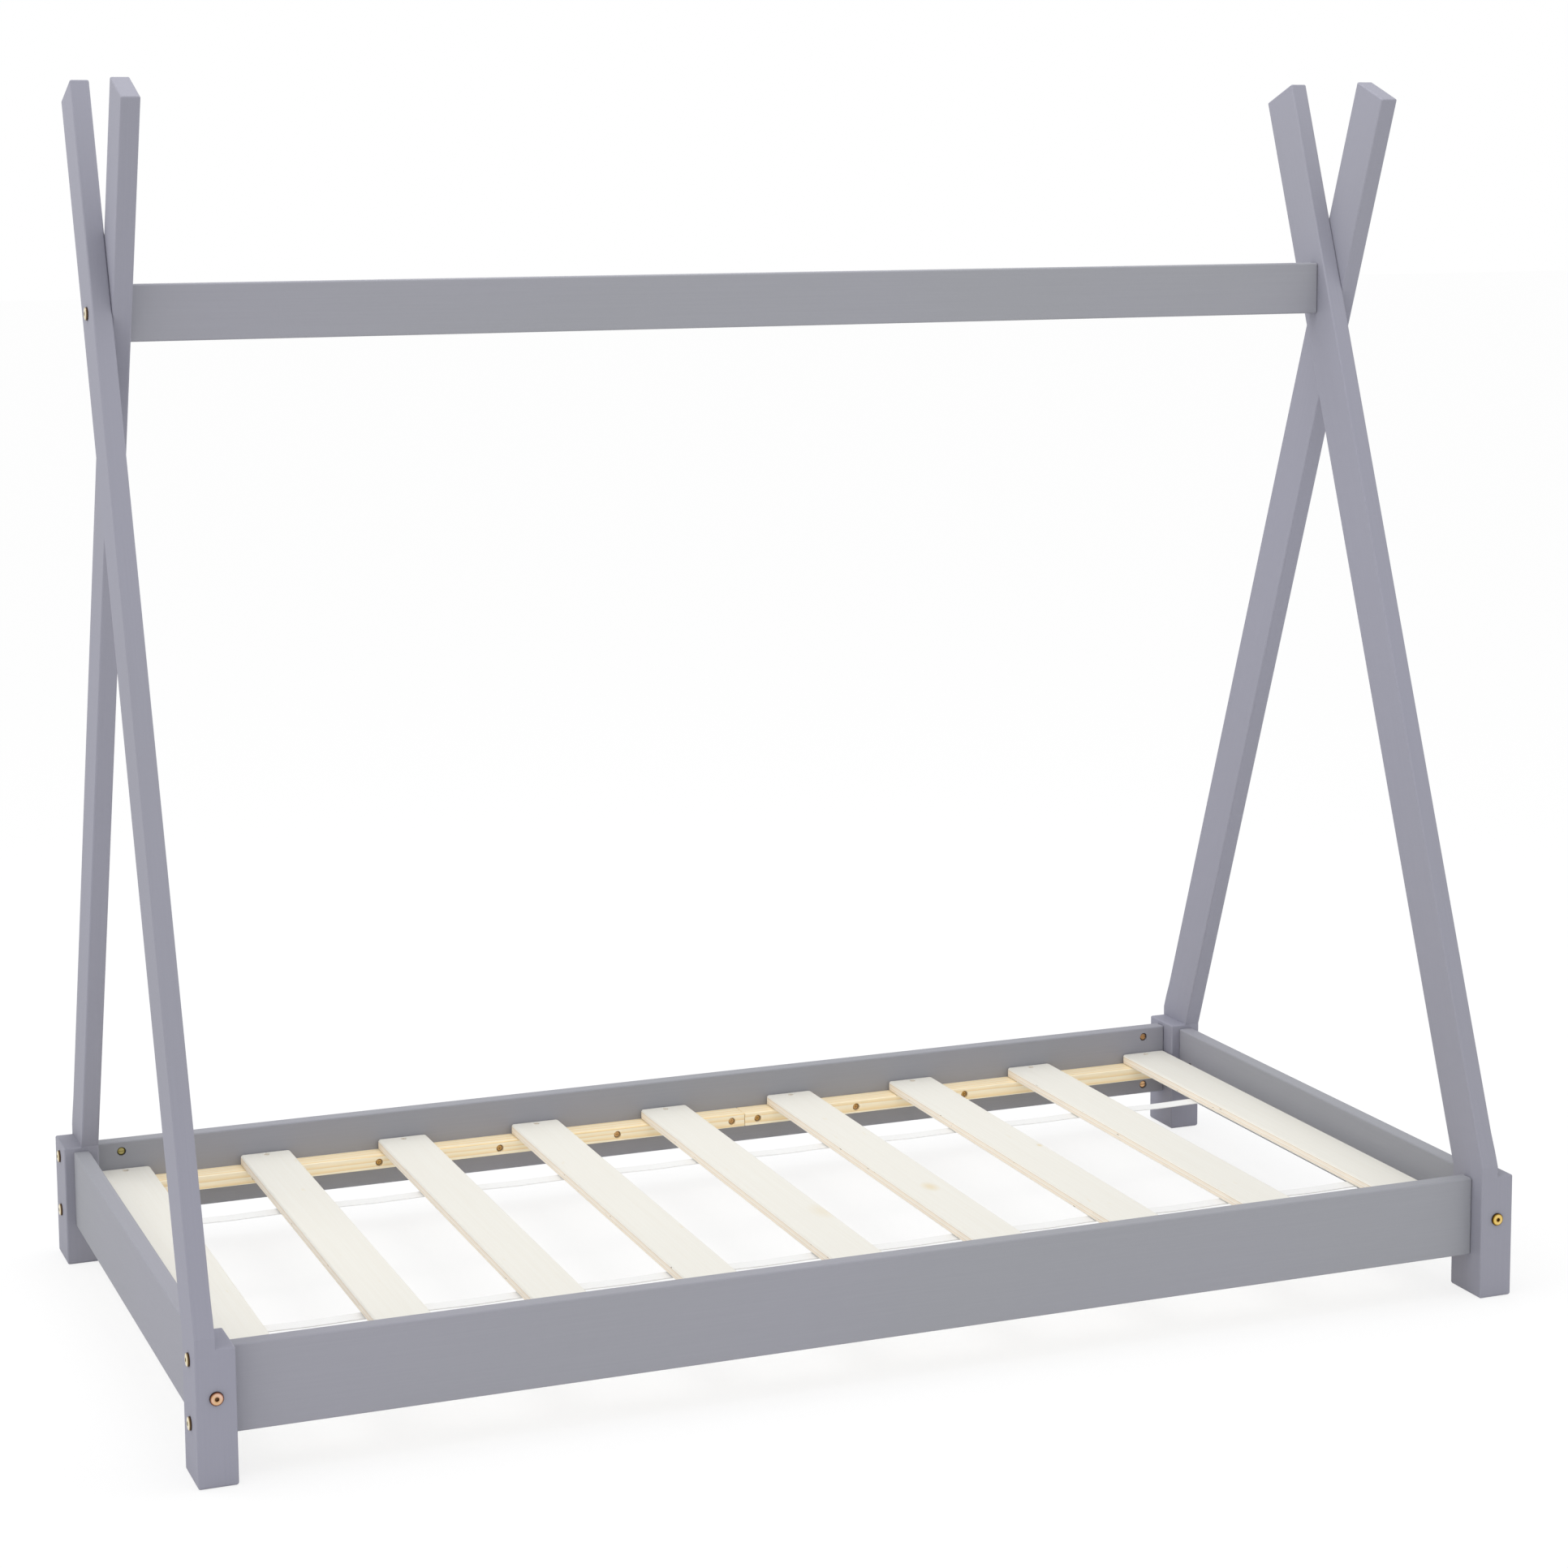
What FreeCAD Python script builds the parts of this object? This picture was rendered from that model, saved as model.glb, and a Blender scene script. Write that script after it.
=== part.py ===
"""Teepee bed for a child. A slatted bed frame stands on four legs, and each leg carries on upwards as a
leaning pole. The poles cross in pairs over the two ends and hold a ridge beam between them.

Millimetres, +Z up, +X along the bed, +Y towards its back, and the origin on the floor under the middle
of the bed. The bed looks the same after a half turn about Z, so the back and right-hand pieces are the
front and left-hand ones turned round.
"""
import FreeCAD, Part
import os
import Sketcher

Vector = FreeCAD.Vector
ALONG = Vector(1, 0, 0)
ACROSS = Vector(0, 1, 0)
UP = Vector(0, 0, 1)
SIGNS = (-1, 1)

LENGTHS = {
    # Overall size, over the outer faces of the legs and to the highest corner of a pole
    "bed_length": 1480.0,
    "bed_width": 790.0,
    "pole_top": 1352.0,
    # Poles and legs: a leg is the pole's foot with a block of the same board glued beside it
    "pole_width": 60.0,
    "pole_thickness": 20.0,
    "shoulder_height": 139.0,
    "paint_round": 2.5,
    # Rails and ridge beam
    "rail_bottom": 46.0,
    "rail_height": 88.0,
    "rail_thickness": 18.0,
    "side_rail_setback": 20.0,
    "ridge_height": 59.0,
    "ridge_thickness": 20.0,
    # Ledger strips inside the side rails, a short and a long piece end to end
    "ledger_top": 90.0,
    "ledger_height": 16.0,
    "ledger_depth": 30.0,
    "ledger_leg_gap": 2.0,
    "ledger_joint_gap": 0.5,
    # Plywood slats
    "slat_width": 60.0,
    "slat_thickness": 12.0,
    "slat_rail_gap": 1.0,
    "slat_leg_gap": 2.0,
    "slat_round": 2.5,
    "slat_screw_inset": 10.0,
    # Webbing straps under the slats
    "strap_width": 20.0,
    "strap_thickness": 1.2,
    "strap_end_inset": 6.0,
    "strap_front_distance": 217.0,
    "strap_back_distance": 162.0,
    # Connector bolts and barrel nuts
    "bolt_diameter": 6.0,
    "bolt_clearance": 0.3,
    "bolt_tip": 8.0,
    "bolt_head_diameter": 14.0,
    "bolt_head_height": 3.0,
    "bolt_head_chamfer": 1.2,
    "bolt_socket_width": 4.6,
    "bolt_socket_depth": 2.0,
    "side_bolt_spacing": 64.0,
    "nut_diameter": 10.0,
    "nut_clearance": 0.2,
    "nut_inset": 30.0,
    "nut_recess": 2.0,
    "nut_slot_width": 1.6,
    "nut_slot_depth": 1.4,
    # Dowels that keep the end rails and the ridge beam from turning on their single bolts
    "dowel_diameter": 8.0,
    "dowel_length": 40.0,
    "dowel_clearance": 0.1,
    "rail_dowel_spacing": 56.0,
    "ridge_dowel_length": 30.0,
    "ridge_dowel_in_pole": 12.0,
    "ridge_dowel_drop": 18.0,
    # Screws
    "ledger_screw_inset": 17.0,
    "ledger_screw_diameter": 4.0,
    "ledger_screw_length": 36.0,
    "ledger_screw_head_diameter": 8.0,
    "ledger_screw_head_height": 2.4,
    "ledger_counterbore_diameter": 9.0,
    "ledger_counterbore_depth": 5.0,
    "slat_screw_diameter": 3.0,
    "slat_screw_length": 18.0,
    "slat_screw_head_diameter": 6.0,
    "slat_screw_head_height": 2.0,
    "slat_counterbore_diameter": 7.0,
    "slat_counterbore_depth": 5.0,
    "screw_clearance": 0.1,
    # Spare depth of a blind hole past what goes into it
    "drill_spare": 2.0,
}
ANGLES = {"pole_lean": 20.65}
# How much of the bay the short ledger strip takes
SHARES = {"ledger_short_share": 0.4286}
# Round fittings and their holes are prisms measured over their corners, to keep a model with so many of
# them light: those out of sight have fewer sides than those that show
COUNTS = {"slat_count": 9, "hidden_sides": 8, "seen_sides": 12}
# Where the screws of a ledger strip are between its two end ones
SHORT_SCREW_SHARES = (0.0, 0.235, 0.5, 0.765, 1.0)
LONG_SCREW_SHARES = (0.0, 0.197, 0.394, 0.591, 0.788, 1.0)

# Sizes that follow from the driving ones
WORKED_OUT = {
    "half_length": "size.bed_length / 2",
    "half_width": "size.bed_width / 2",
    "leg_width": "2 * size.pole_thickness",
    "bay_length": "size.bed_length - 2 * calc.leg_width",
    "kink_height": "size.shoulder_height + size.pole_width * tan(size.pole_lean / 2)",
    "pole_reach": "(size.pole_top - calc.kink_height) * tan(size.pole_lean)",
    "end_across": "size.pole_width * cos(size.pole_lean)",
    "end_drop": "size.pole_width * sin(size.pole_lean)",
    "half_pole_level": "size.pole_width / (2 * cos(size.pole_lean))",
    "ridge_middle": "calc.kink_height + (calc.half_width - calc.half_pole_level) / tan(size.pole_lean)",
    "rail_middle": "size.rail_bottom + size.rail_height / 2",
    "side_rail_middle": "size.side_rail_setback + size.rail_thickness / 2",
    "side_rail_inner": "calc.half_width - size.side_rail_setback - size.rail_thickness",
    "end_rail_length": "size.bed_width - 2 * size.pole_width",
    "ledger_short_length": "size.ledger_short_share * calc.bay_length",
    "ledger_long_start": "size.ledger_leg_gap + calc.ledger_short_length + size.ledger_joint_gap",
    "ledger_long_length": "calc.bay_length - size.ledger_leg_gap - calc.ledger_long_start",
    "slat_length": "2 * (calc.side_rail_inner - size.slat_rail_gap)",
    "slat_first": "size.slat_leg_gap + size.slat_width / 2",
    "slat_pitch": "(calc.bay_length - 2 * calc.slat_first) / (size.slat_count - 1)",
    "slat_hole_across": "size.slat_rail_gap + size.slat_screw_inset",
    "strap_length": "calc.bay_length - 2 * (size.slat_leg_gap + size.strap_end_inset)",
    "bolt_hole": "size.bolt_diameter / 2 + size.bolt_clearance",
    "bolt_depth": "size.nut_inset + size.bolt_tip + size.drill_spare",
    "nut_hole": "size.nut_diameter / 2 + size.nut_clearance",
    "dowel_hole": "size.dowel_diameter / 2 + size.dowel_clearance",
    "dowel_depth": "size.dowel_length / 2 + size.drill_spare",
    "ledger_screw_seat": "size.ledger_depth - size.ledger_counterbore_depth",
    "ledger_screw_hole": "size.ledger_screw_diameter / 2 + size.screw_clearance",
    "slat_screw_seat": "size.slat_thickness - size.slat_counterbore_depth",
    "slat_screw_hole": "size.slat_screw_diameter / 2 + size.screw_clearance",
}

doc = FreeCAD.newDocument("TeepeeBed")
nodes = []
first_of_kind = {}


def fill_sheet(name, cells):
    """A spreadsheet with one named cell per row."""
    sheet = doc.addObject("Spreadsheet::Sheet", name)
    for row, (alias, text) in enumerate(cells.items(), 1):
        sheet.set(f"A{row}", alias)
        sheet.set(f"B{row}", text)
        sheet.setAlias(f"B{row}", alias)
    doc.recompute()
    return sheet


driving = {**LENGTHS, **ANGLES, **SHARES, **COUNTS}
size = fill_sheet("size", {name: str(number) for name, number in driving.items()})
calc = fill_sheet("calc", {name: f"={text}" for name, text in WORKED_OUT.items()})


def val(expression):
    """The number that an expression of the two sheets comes to."""
    return float(size.evalExpression(expression))


def put_at(item, place):
    """Tie the position of an object to three expressions, where "0" leaves it on that axis."""
    for axis, expression in zip("xyz", place):
        if expression != "0":
            item.setExpression(f"Placement.Base.{axis}", expression)


def new_body(label, place, turn=0):
    """An empty body, its own frame put at `place` and turned about the vertical by `turn` degrees."""
    body = doc.addObject("PartDesign::Body", label)
    body.Placement = FreeCAD.Placement(Vector(), FreeCAD.Rotation(UP, turn))
    put_at(body, place)
    return body


def sketch_on(body, name, role, offset="0"):
    """A sketch on one of the body's own planes, moved along that plane's normal by `offset`."""
    sketch = body.newObject("Sketcher::SketchObject", name)
    plane = next(item for item in body.Origin.OriginFeatures if item.Role == role)
    sketch.AttachmentSupport = [(plane, "")]
    sketch.MapMode = "FlatFace"
    sketch.setExpression("AttachmentOffset.Base.z", offset)
    return sketch


def pin(sketch, geometry, point, u, v):
    """Hold a point of the sketch at (u, v), both expressions, where "0" puts it on that axis."""
    for kind, axis, expression in (("DistanceX", -2, u), ("DistanceY", -1, v)):
        if expression == "0":
            sketch.addConstraint(Sketcher.Constraint("PointOnObject", geometry, point, axis))
            continue
        rule = Sketcher.Constraint(kind, -1, 1, geometry, point, val(expression))
        number = sketch.addConstraint(rule)
        sketch.setExpression(f"Constraints[{number}]", expression)


def draw_outline(sketch, corners):
    """A closed outline of straight lines through corners given as pairs of expressions."""
    points = [Vector(val(u), val(v), 0) for u, v in corners]
    following = points[1:] + points[:1]
    for start, end in zip(points, following):
        sketch.addGeometry(Part.LineSegment(start, end))
    for index, (u, v) in enumerate(corners):
        before = (index or len(corners)) - 1
        sketch.addConstraint(Sketcher.Constraint("Coincident", before, 2, index, 1))
        pin(sketch, index, 1, u, v)


def pad(body, corners, length):
    """Draw an outline on the body's YZ plane and raise it along the body's X axis."""
    sketch = sketch_on(body, "Outline", "YZ_Plane")
    draw_outline(sketch, corners)
    feature = body.newObject("PartDesign::Pad", "Board")
    feature.Profile = sketch
    feature.setExpression("Length", length)


def rectangle(width, height):
    """The corners of a rectangle with one corner at the origin."""
    return [("0", "0"), (width, "0"), (width, height), ("0", height)]


def prism(body, kind, name, sides, radius, length, base, way):
    """Add or cut a straight prism: `radius` is over its corners, and from `base` it runs along `way`."""
    feature = body.newObject(f"PartDesign::{kind}Prism", name)
    feature.Refine = False
    feature.Polygon = int(val(sides))
    feature.setExpression("Circumradius", radius)
    feature.setExpression("Height", length)
    feature.Placement = FreeCAD.Placement(Vector(), FreeCAD.Rotation(UP, way))
    put_at(feature, base)


def start_face(u, v):
    """A place on the face at the start of a board, and the way in along its length."""
    return ("0", u, v), ALONG


def end_face(length):
    """The same for the face at the far end of a board."""
    return lambda u, v: ((length, u, v), -ALONG)


def front_face(u, v):
    """The same for the face at y = 0."""
    return (u, "0", v), ACROSS


def back_face(depth):
    """The same for the face at y = depth."""
    return lambda u, v: ((u, depth, v), -ACROSS)


def top_face(height):
    """The same for the face at z = height."""
    return lambda u, v: ((u, v, height), -UP)


def drill(body, name, face, centres, radius, depth, sides="size.hidden_sides"):
    """Drill holes square into one face of a board."""
    for u, v in centres:
        mouth, way = face(u, v)
        prism(body, "Subtractive", name, sides, radius, depth, mouth, way)


def picked_edges(body, wanted):
    """The body as it is so far, with the names of those of its edges that `wanted` picks."""
    doc.recompute()
    edges = enumerate(body.Tip.Shape.Edges, 1)
    return body.Tip, [f"Edge{number}" for number, edge in edges if wanted(edge)]


def round_edges(body, radius, wanted):
    """Round the edges of the body that `wanted` picks."""
    picked = picked_edges(body, wanted)
    fillet = body.newObject("PartDesign::Fillet", "Round")
    fillet.Base = picked
    fillet.setExpression("Radius", radius)


def lengthwise(edge):
    """Whether an edge runs along the board."""
    box = edge.BoundBox
    return box.XLength > box.YLength + box.ZLength


def board(label, place, turn, length, width, height):
    """A plain board along its own X axis, with `width` in Y and `height` in Z."""
    body = new_body(label, place, turn)
    pad(body, rectangle(width, height), length)
    nodes.append(body)
    return body


def piece(make, label, place, turn):
    """A piece of the kind that `make` builds: each after the first is a copy of it at its own place."""
    if make not in first_of_kind:
        first_of_kind[make] = make(label, place, turn)
        return
    body = new_body(label, place, turn)
    same = doc.addObject("PartDesign::FeatureBase", "Same")
    body.Group = [same]
    same.BaseFeature = first_of_kind[make]
    body.Tip = same
    nodes.append(body)


def pair_about(middle, spacing):
    """Two places, half the spacing to either side of the middle."""
    return [f"{middle} - {spacing} / 2", f"{middle} + {spacing} / 2"]


SIDE_BOLT_HEIGHTS = pair_about("calc.rail_middle", "size.side_bolt_spacing")
DOWEL_HEIGHTS = pair_about("calc.rail_middle", "size.rail_dowel_spacing")


def leg_holes(body, glue_face):
    """The holes in a pole's foot or a leg block. Those for the end rail lie on the glued joint itself,
    half in each piece."""
    side_bolts = [("calc.side_rail_middle", height) for height in SIDE_BOLT_HEIGHTS]
    drill(body, "SideBoltHoles", start_face, side_bolts, "calc.bolt_hole", "size.pole_thickness")
    end_bolt = [(glue_face, "calc.rail_middle")]
    drill(body, "EndBoltHole", front_face, end_bolt, "calc.bolt_hole", "size.pole_width")
    dowels = [(glue_face, height) for height in DOWEL_HEIGHTS]
    drill(body, "DowelHoles", back_face("size.pole_width"), dowels, "calc.dowel_hole", "calc.dowel_depth")


def bare_pole_edge(edge):
    """Whether a pole's edge is eased: the long ones, but for the foot's two on the glued side."""
    box = edge.BoundBox
    steep = box.ZLength > box.YLength
    in_foot = box.ZMax < val("(calc.kink_height + size.pole_top) / 2")
    glued = in_foot and box.XMax > val("size.pole_thickness / 2")
    return steep and not glued


def make_plain_pole(label, place, turn):
    """A pole with its bent foot. In its own frame the outer face is at y = 0, the pole leans towards +Y
    and the leg block is glued to its +X side."""
    body = new_body(label, place, turn)
    outline = [
        ("0", "0"),
        ("size.pole_width", "0"),
        ("size.pole_width", "size.shoulder_height"),
        ("calc.pole_reach + calc.end_across", "size.pole_top - calc.end_drop"),
        ("calc.pole_reach", "size.pole_top"),
        ("0", "calc.kink_height"),
    ]
    pad(body, outline, "size.pole_thickness")
    round_edges(body, "size.paint_round", bare_pole_edge)
    leg_holes(body, "size.pole_thickness")
    ridge_bolt = [("calc.half_width", "calc.ridge_middle")]
    drill(body, "RidgeBoltHole", start_face, ridge_bolt, "calc.bolt_hole", "size.pole_thickness")
    nodes.append(body)
    return body


def make_ridge_pole(label, place, turn):
    """A pole that lies against the ridge beam, with a blind hole for the beam's dowel."""
    body = make_plain_pole(label, place, turn)
    dowel = [("calc.half_width", "calc.ridge_middle - size.ridge_dowel_drop")]
    depth = "size.ridge_dowel_in_pole + size.drill_spare"
    drill(body, "RidgeDowelHole", start_face, dowel, "calc.dowel_hole", depth)
    return body


def bare_block_edge(edge):
    """Whether a leg block's edge is eased: the two upright ones away from its glued face."""
    box = edge.BoundBox
    return box.ZLength > box.YLength and box.XMax > val("size.pole_thickness / 2")


def make_leg_block(label, place, turn):
    """The block that doubles a pole's foot, up to the shoulder, with its glued face at x = 0."""
    thickness = "size.pole_thickness"
    body = board(label, place, turn, thickness, "size.pole_width", "size.shoulder_height")
    round_edges(body, "size.paint_round", bare_block_edge)
    leg_holes(body, "0")
    return body


def make_legs():
    """The four poles and their blocks. A front pole is in the left half of its leg, a back pole in the
    right half, so that the two of one end cross side by side."""
    front = "-calc.half_width"
    back = "calc.half_width"
    corners = {
        "front_left": ("-calc.half_length", front, 0, make_plain_pole),
        "front_right": ("calc.half_length - calc.leg_width", front, 0, make_ridge_pole),
        "back_right": ("calc.half_length", back, 180, make_plain_pole),
        "back_left": ("calc.leg_width - calc.half_length", back, 180, make_ridge_pole),
    }
    for corner, (x, y, turn, make) in corners.items():
        piece(make, f"pole_{corner}", (x, y, "0"), turn)
        inwards = "-" if turn else "+"
        beside = (f"{x} {inwards} size.pole_thickness", y, "0")
        piece(make_leg_block, f"leg_block_{corner}", beside, turn)


def bolted_ends(body, length, thickness, heights, nut_heights):
    """Bolt holes in both ends of a rail, and the barrel nuts' blind holes from its inner face."""
    bolts = [(f"{thickness} / 2", height) for height in heights]
    drill(body, "StartBoltHoles", start_face, bolts, "calc.bolt_hole", "calc.bolt_depth")
    drill(body, "EndBoltHoles", end_face(length), bolts, "calc.bolt_hole", "calc.bolt_depth")
    places = ["size.nut_inset", f"{length} - size.nut_inset"]
    nuts = [(along, height) for along in places for height in nut_heights]
    depth = f"{thickness} - size.nut_recess + size.nut_clearance"
    drill(body, "NutHoles", back_face(thickness), nuts, "calc.nut_hole", depth, "size.seen_sides")


def dowelled_ends(body, length, thickness, heights, depth):
    """Dowel holes in both ends of a rail."""
    dowels = [(f"{thickness} / 2", height) for height in heights]
    drill(body, "StartDowelHoles", start_face, dowels, "calc.dowel_hole", depth)
    drill(body, "EndDowelHoles", end_face(length), dowels, "calc.dowel_hole", depth)


def screws_along(length, shares):
    """The screws along a ledger strip, from its start, with an inset to the first and the last."""
    between = f"({length} - 2 * size.ledger_screw_inset)"
    return [f"size.ledger_screw_inset + {share} * {between}" for share in shares]


def rail_screws():
    """The screws of both ledger strips, from the start of the side rail."""
    short = screws_along("calc.ledger_short_length", SHORT_SCREW_SHARES)
    long = screws_along("calc.ledger_long_length", LONG_SCREW_SHARES)
    return [f"size.ledger_leg_gap + {along}" for along in short] + [
        f"calc.ledger_long_start + {along}" for along in long]


def slat_middles():
    """The middle of each slat, from the start of the side rail."""
    row = range(int(val("size.slat_count")))
    return [f"calc.slat_first + {index} * calc.slat_pitch" for index in row]


def make_side_rail(label, place, turn):
    """A side rail, its outer face at y = 0 and its inner one drilled for nuts and ledger screws."""
    thickness = "size.rail_thickness"
    body = board(label, place, turn, "calc.bay_length", thickness, "size.rail_height")
    round_edges(body, "size.paint_round", lengthwise)
    heights = pair_about("size.rail_height / 2", "size.side_bolt_spacing")
    bolted_ends(body, "calc.bay_length", thickness, heights, heights)
    height = "size.ledger_top - size.ledger_height / 2 - size.rail_bottom"
    screws = [(along, height) for along in rail_screws()]
    depth = "size.ledger_screw_length - calc.ledger_screw_seat + size.drill_spare"
    drill(body, "ScrewHoles", back_face(thickness), screws, "calc.ledger_screw_hole", depth)
    return body


def make_end_rail(label, place, turn):
    """An end rail between the legs' inner faces, held by one bolt and two dowels at each end."""
    length = "calc.end_rail_length"
    thickness = "size.rail_thickness"
    body = board(label, place, turn, length, thickness, "size.rail_height")
    round_edges(body, "size.paint_round", lengthwise)
    middle = "size.rail_height / 2"
    bolted_ends(body, length, thickness, [middle], [middle])
    heights = pair_about(middle, "size.rail_dowel_spacing")
    dowelled_ends(body, length, thickness, heights, "calc.dowel_depth")
    return body


def make_ridge_beam():
    """The beam between the crossed poles, with its nuts put in from the back."""
    length = "calc.bay_length"
    thickness = "size.ridge_thickness"
    place = (f"-{length} / 2", f"-{thickness} / 2", "calc.ridge_middle - size.ridge_height / 2")
    body = board("ridge_beam", place, 0, length, thickness, "size.ridge_height")
    round_edges(body, "size.paint_round", lengthwise)
    middle = "size.ridge_height / 2"
    bolted_ends(body, length, thickness, [middle], [middle])
    depth = "size.ridge_dowel_length - size.ridge_dowel_in_pole + size.drill_spare"
    dowelled_ends(body, length, thickness, [f"{middle} - size.ridge_dowel_drop"], depth)


def make_ledger(label, place, turn, start, length, shares):
    """A ledger strip, its back against the rail at y = 0, counterbored for its screws and drilled from
    above for those of the slats that lie on it."""
    body = board(label, place, turn, length, "size.ledger_depth", "size.ledger_height")
    inner = back_face("size.ledger_depth")
    centres = [(along, "size.ledger_height / 2") for along in screws_along(length, shares)]
    wide = "size.ledger_counterbore_diameter / 2"
    drill(body, "Counterbores", inner, centres, wide, "size.ledger_counterbore_depth", "size.seen_sides")
    drill(body, "ScrewHoles", inner, centres, "calc.ledger_screw_hole", "size.ledger_depth")
    on_it = [along for along in slat_middles() if 0 < val(f"{along} - ({start})") < val(length)]
    pilots = [(f"{along} - ({start})", "calc.slat_hole_across") for along in on_it]
    depth = "size.slat_screw_length - calc.slat_screw_seat + size.drill_spare"
    drill(body, "SlatScrewHoles", top_face("size.ledger_height"), pilots, "calc.slat_screw_hole", depth)
    return body


def make_short_ledger(label, place, turn):
    """The strip at the start of a side rail."""
    length = "calc.ledger_short_length"
    return make_ledger(label, place, turn, "size.ledger_leg_gap", length, SHORT_SCREW_SHARES)


def make_long_ledger(label, place, turn):
    """The strip along the rest of a side rail."""
    length = "calc.ledger_long_length"
    return make_ledger(label, place, turn, "calc.ledger_long_start", length, LONG_SCREW_SHARES)


def make_side(side, x, y, turn):
    """A side rail with its two ledger strips; x and y are signs, for the rail's start and outer face."""
    start = f"{x} calc.bay_length / 2"
    outer = f"{y} (calc.half_width - size.side_rail_setback)"
    piece(make_side_rail, f"side_rail_{side}", (start, outer, "size.rail_bottom"), turn)
    inner = f"{y} calc.side_rail_inner"
    bottom = "size.ledger_top - size.ledger_height"
    away = "+" if x == "-" else "-"
    strips = {
        "short": ("size.ledger_leg_gap", make_short_ledger),
        "long": ("calc.ledger_long_start", make_long_ledger),
    }
    for kind, (along, make) in strips.items():
        place = (f"{start} {away} {along}", inner, bottom)
        piece(make, f"ledger_{kind}_{side}", place, turn)


def make_ends():
    """The two end rails, centred in the width of the legs, with their drilled faces to the inside."""
    across = "calc.half_length - calc.leg_width / 2"
    along = "calc.end_rail_length / 2"
    half = "size.rail_thickness / 2"
    places = {
        "left": ((f"-({across}) - {half}", along, "size.rail_bottom"), -90),
        "right": ((f"{across} + {half}", f"-{along}", "size.rail_bottom"), 90),
    }
    for end, (place, turn) in places.items():
        piece(make_end_rail, f"end_rail_{end}", place, turn)


def make_slat(label, place, turn):
    """A slat with rounded edges, counterbored for a screw at both ends."""
    length = "calc.slat_length"
    height = "size.slat_thickness"
    body = board(label, place, turn, length, "size.slat_width", height)
    round_edges(body, "size.slat_round", lengthwise)
    ends = ["size.slat_screw_inset", f"{length} - size.slat_screw_inset"]
    centres = [(end, "size.slat_width / 2") for end in ends]
    wide = "size.slat_counterbore_diameter / 2"
    depth = "size.slat_counterbore_depth"
    drill(body, "Counterbores", top_face(height), centres, wide, depth, "size.seen_sides")
    drill(body, "ScrewHoles", top_face(height), centres, "calc.slat_screw_hole", height)
    return body


def make_slats():
    """The slats, laid across the ledgers with an even pitch."""
    for number, along in enumerate(slat_middles(), 1):
        near_edge = f"{along} - calc.bay_length / 2 + size.slat_width / 2"
        place = (near_edge, "-calc.slat_length / 2", "size.ledger_top")
        piece(make_slat, f"slat_{number}", place, 90)


def make_strap(label, y):
    """A webbing strap stapled flat under all the slats."""
    bottom = "size.ledger_top - size.strap_thickness"
    place = ("-calc.strap_length / 2", f"{y} - size.strap_width / 2", bottom)
    board(label, place, 0, "calc.strap_length", "size.strap_width", "size.strap_thickness")


def pin_pattern(label, diameter, length, sides="size.hidden_sides"):
    """A straight pin that hangs from z = 0."""
    body = new_body(label, ("0", "0", "0"))
    prism(body, "Additive", "Pin", sides, f"{diameter} / 2", length, ("0", "0", "0"), -UP)
    return body


def headed_pattern(label, kind, length, sides="size.hidden_sides"):
    """A screw or bolt: a pin with a head that sits on z = 0. `kind` starts the names of its sizes."""
    body = pin_pattern(label, f"size.{kind}_diameter", length)
    wide = f"size.{kind}_head_diameter / 2"
    high = f"size.{kind}_head_height"
    prism(body, "Additive", "Head", sides, wide, high, ("0", "0", "0"), UP)
    return body


def bolt_pattern(label, length):
    """A connector bolt with a bevelled head and a hexagon socket."""
    body = headed_pattern(label, "bolt", length, "size.seen_sides")
    high = val("size.bolt_head_height / 2")
    picked = picked_edges(body, lambda edge: edge.BoundBox.ZMin > high)
    bevel = body.newObject("PartDesign::Chamfer", "Bevel")
    bevel.Base = picked
    bevel.setExpression("Size", "size.bolt_head_chamfer")
    mouth = ("0", "0", "size.bolt_head_height")
    wide = "size.bolt_socket_width / 2"
    prism(body, "Subtractive", "Socket", "6", wide, "size.bolt_socket_depth", mouth, -UP)
    return body


def nut_pattern(label, length):
    """A barrel nut, its slotted end at z = 0, with the bolt's hole across it along X."""
    body = pin_pattern(label, "size.nut_diameter", length, "size.seen_sides")
    radius = "size.nut_diameter / 2"
    side = (f"-{radius}", "0", f"-({length}) / 2")
    across = "size.nut_diameter"
    prism(body, "Subtractive", "BoltHole", "size.hidden_sides", "calc.bolt_hole", across, side, ALONG)
    slot = body.newObject("PartDesign::SubtractiveBox", "Slot")
    slot.setExpression("Length", across)
    slot.setExpression("Width", "size.nut_slot_width")
    slot.setExpression("Height", "size.nut_slot_depth")
    put_at(slot, (f"-{radius}", "-size.nut_slot_width / 2", "-size.nut_slot_depth"))
    return body


def group(label, pattern, places):
    """One node of separate solids: a copy of the pattern at each place, facing along `facing` with its
    own X axis along `across`."""
    doc.recompute()
    copies = []
    for position, facing, across in places:
        turn = FreeCAD.Rotation(across, Vector(), facing, "ZXY")
        copies.append(pattern.Shape.transformed(FreeCAD.Placement(position, turn).toMatrix()))
    node = doc.addObject("Part::Feature", label)
    node.Shape = Part.makeCompound(copies)
    node.Placement = FreeCAD.Placement()
    nodes.append(node)


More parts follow.
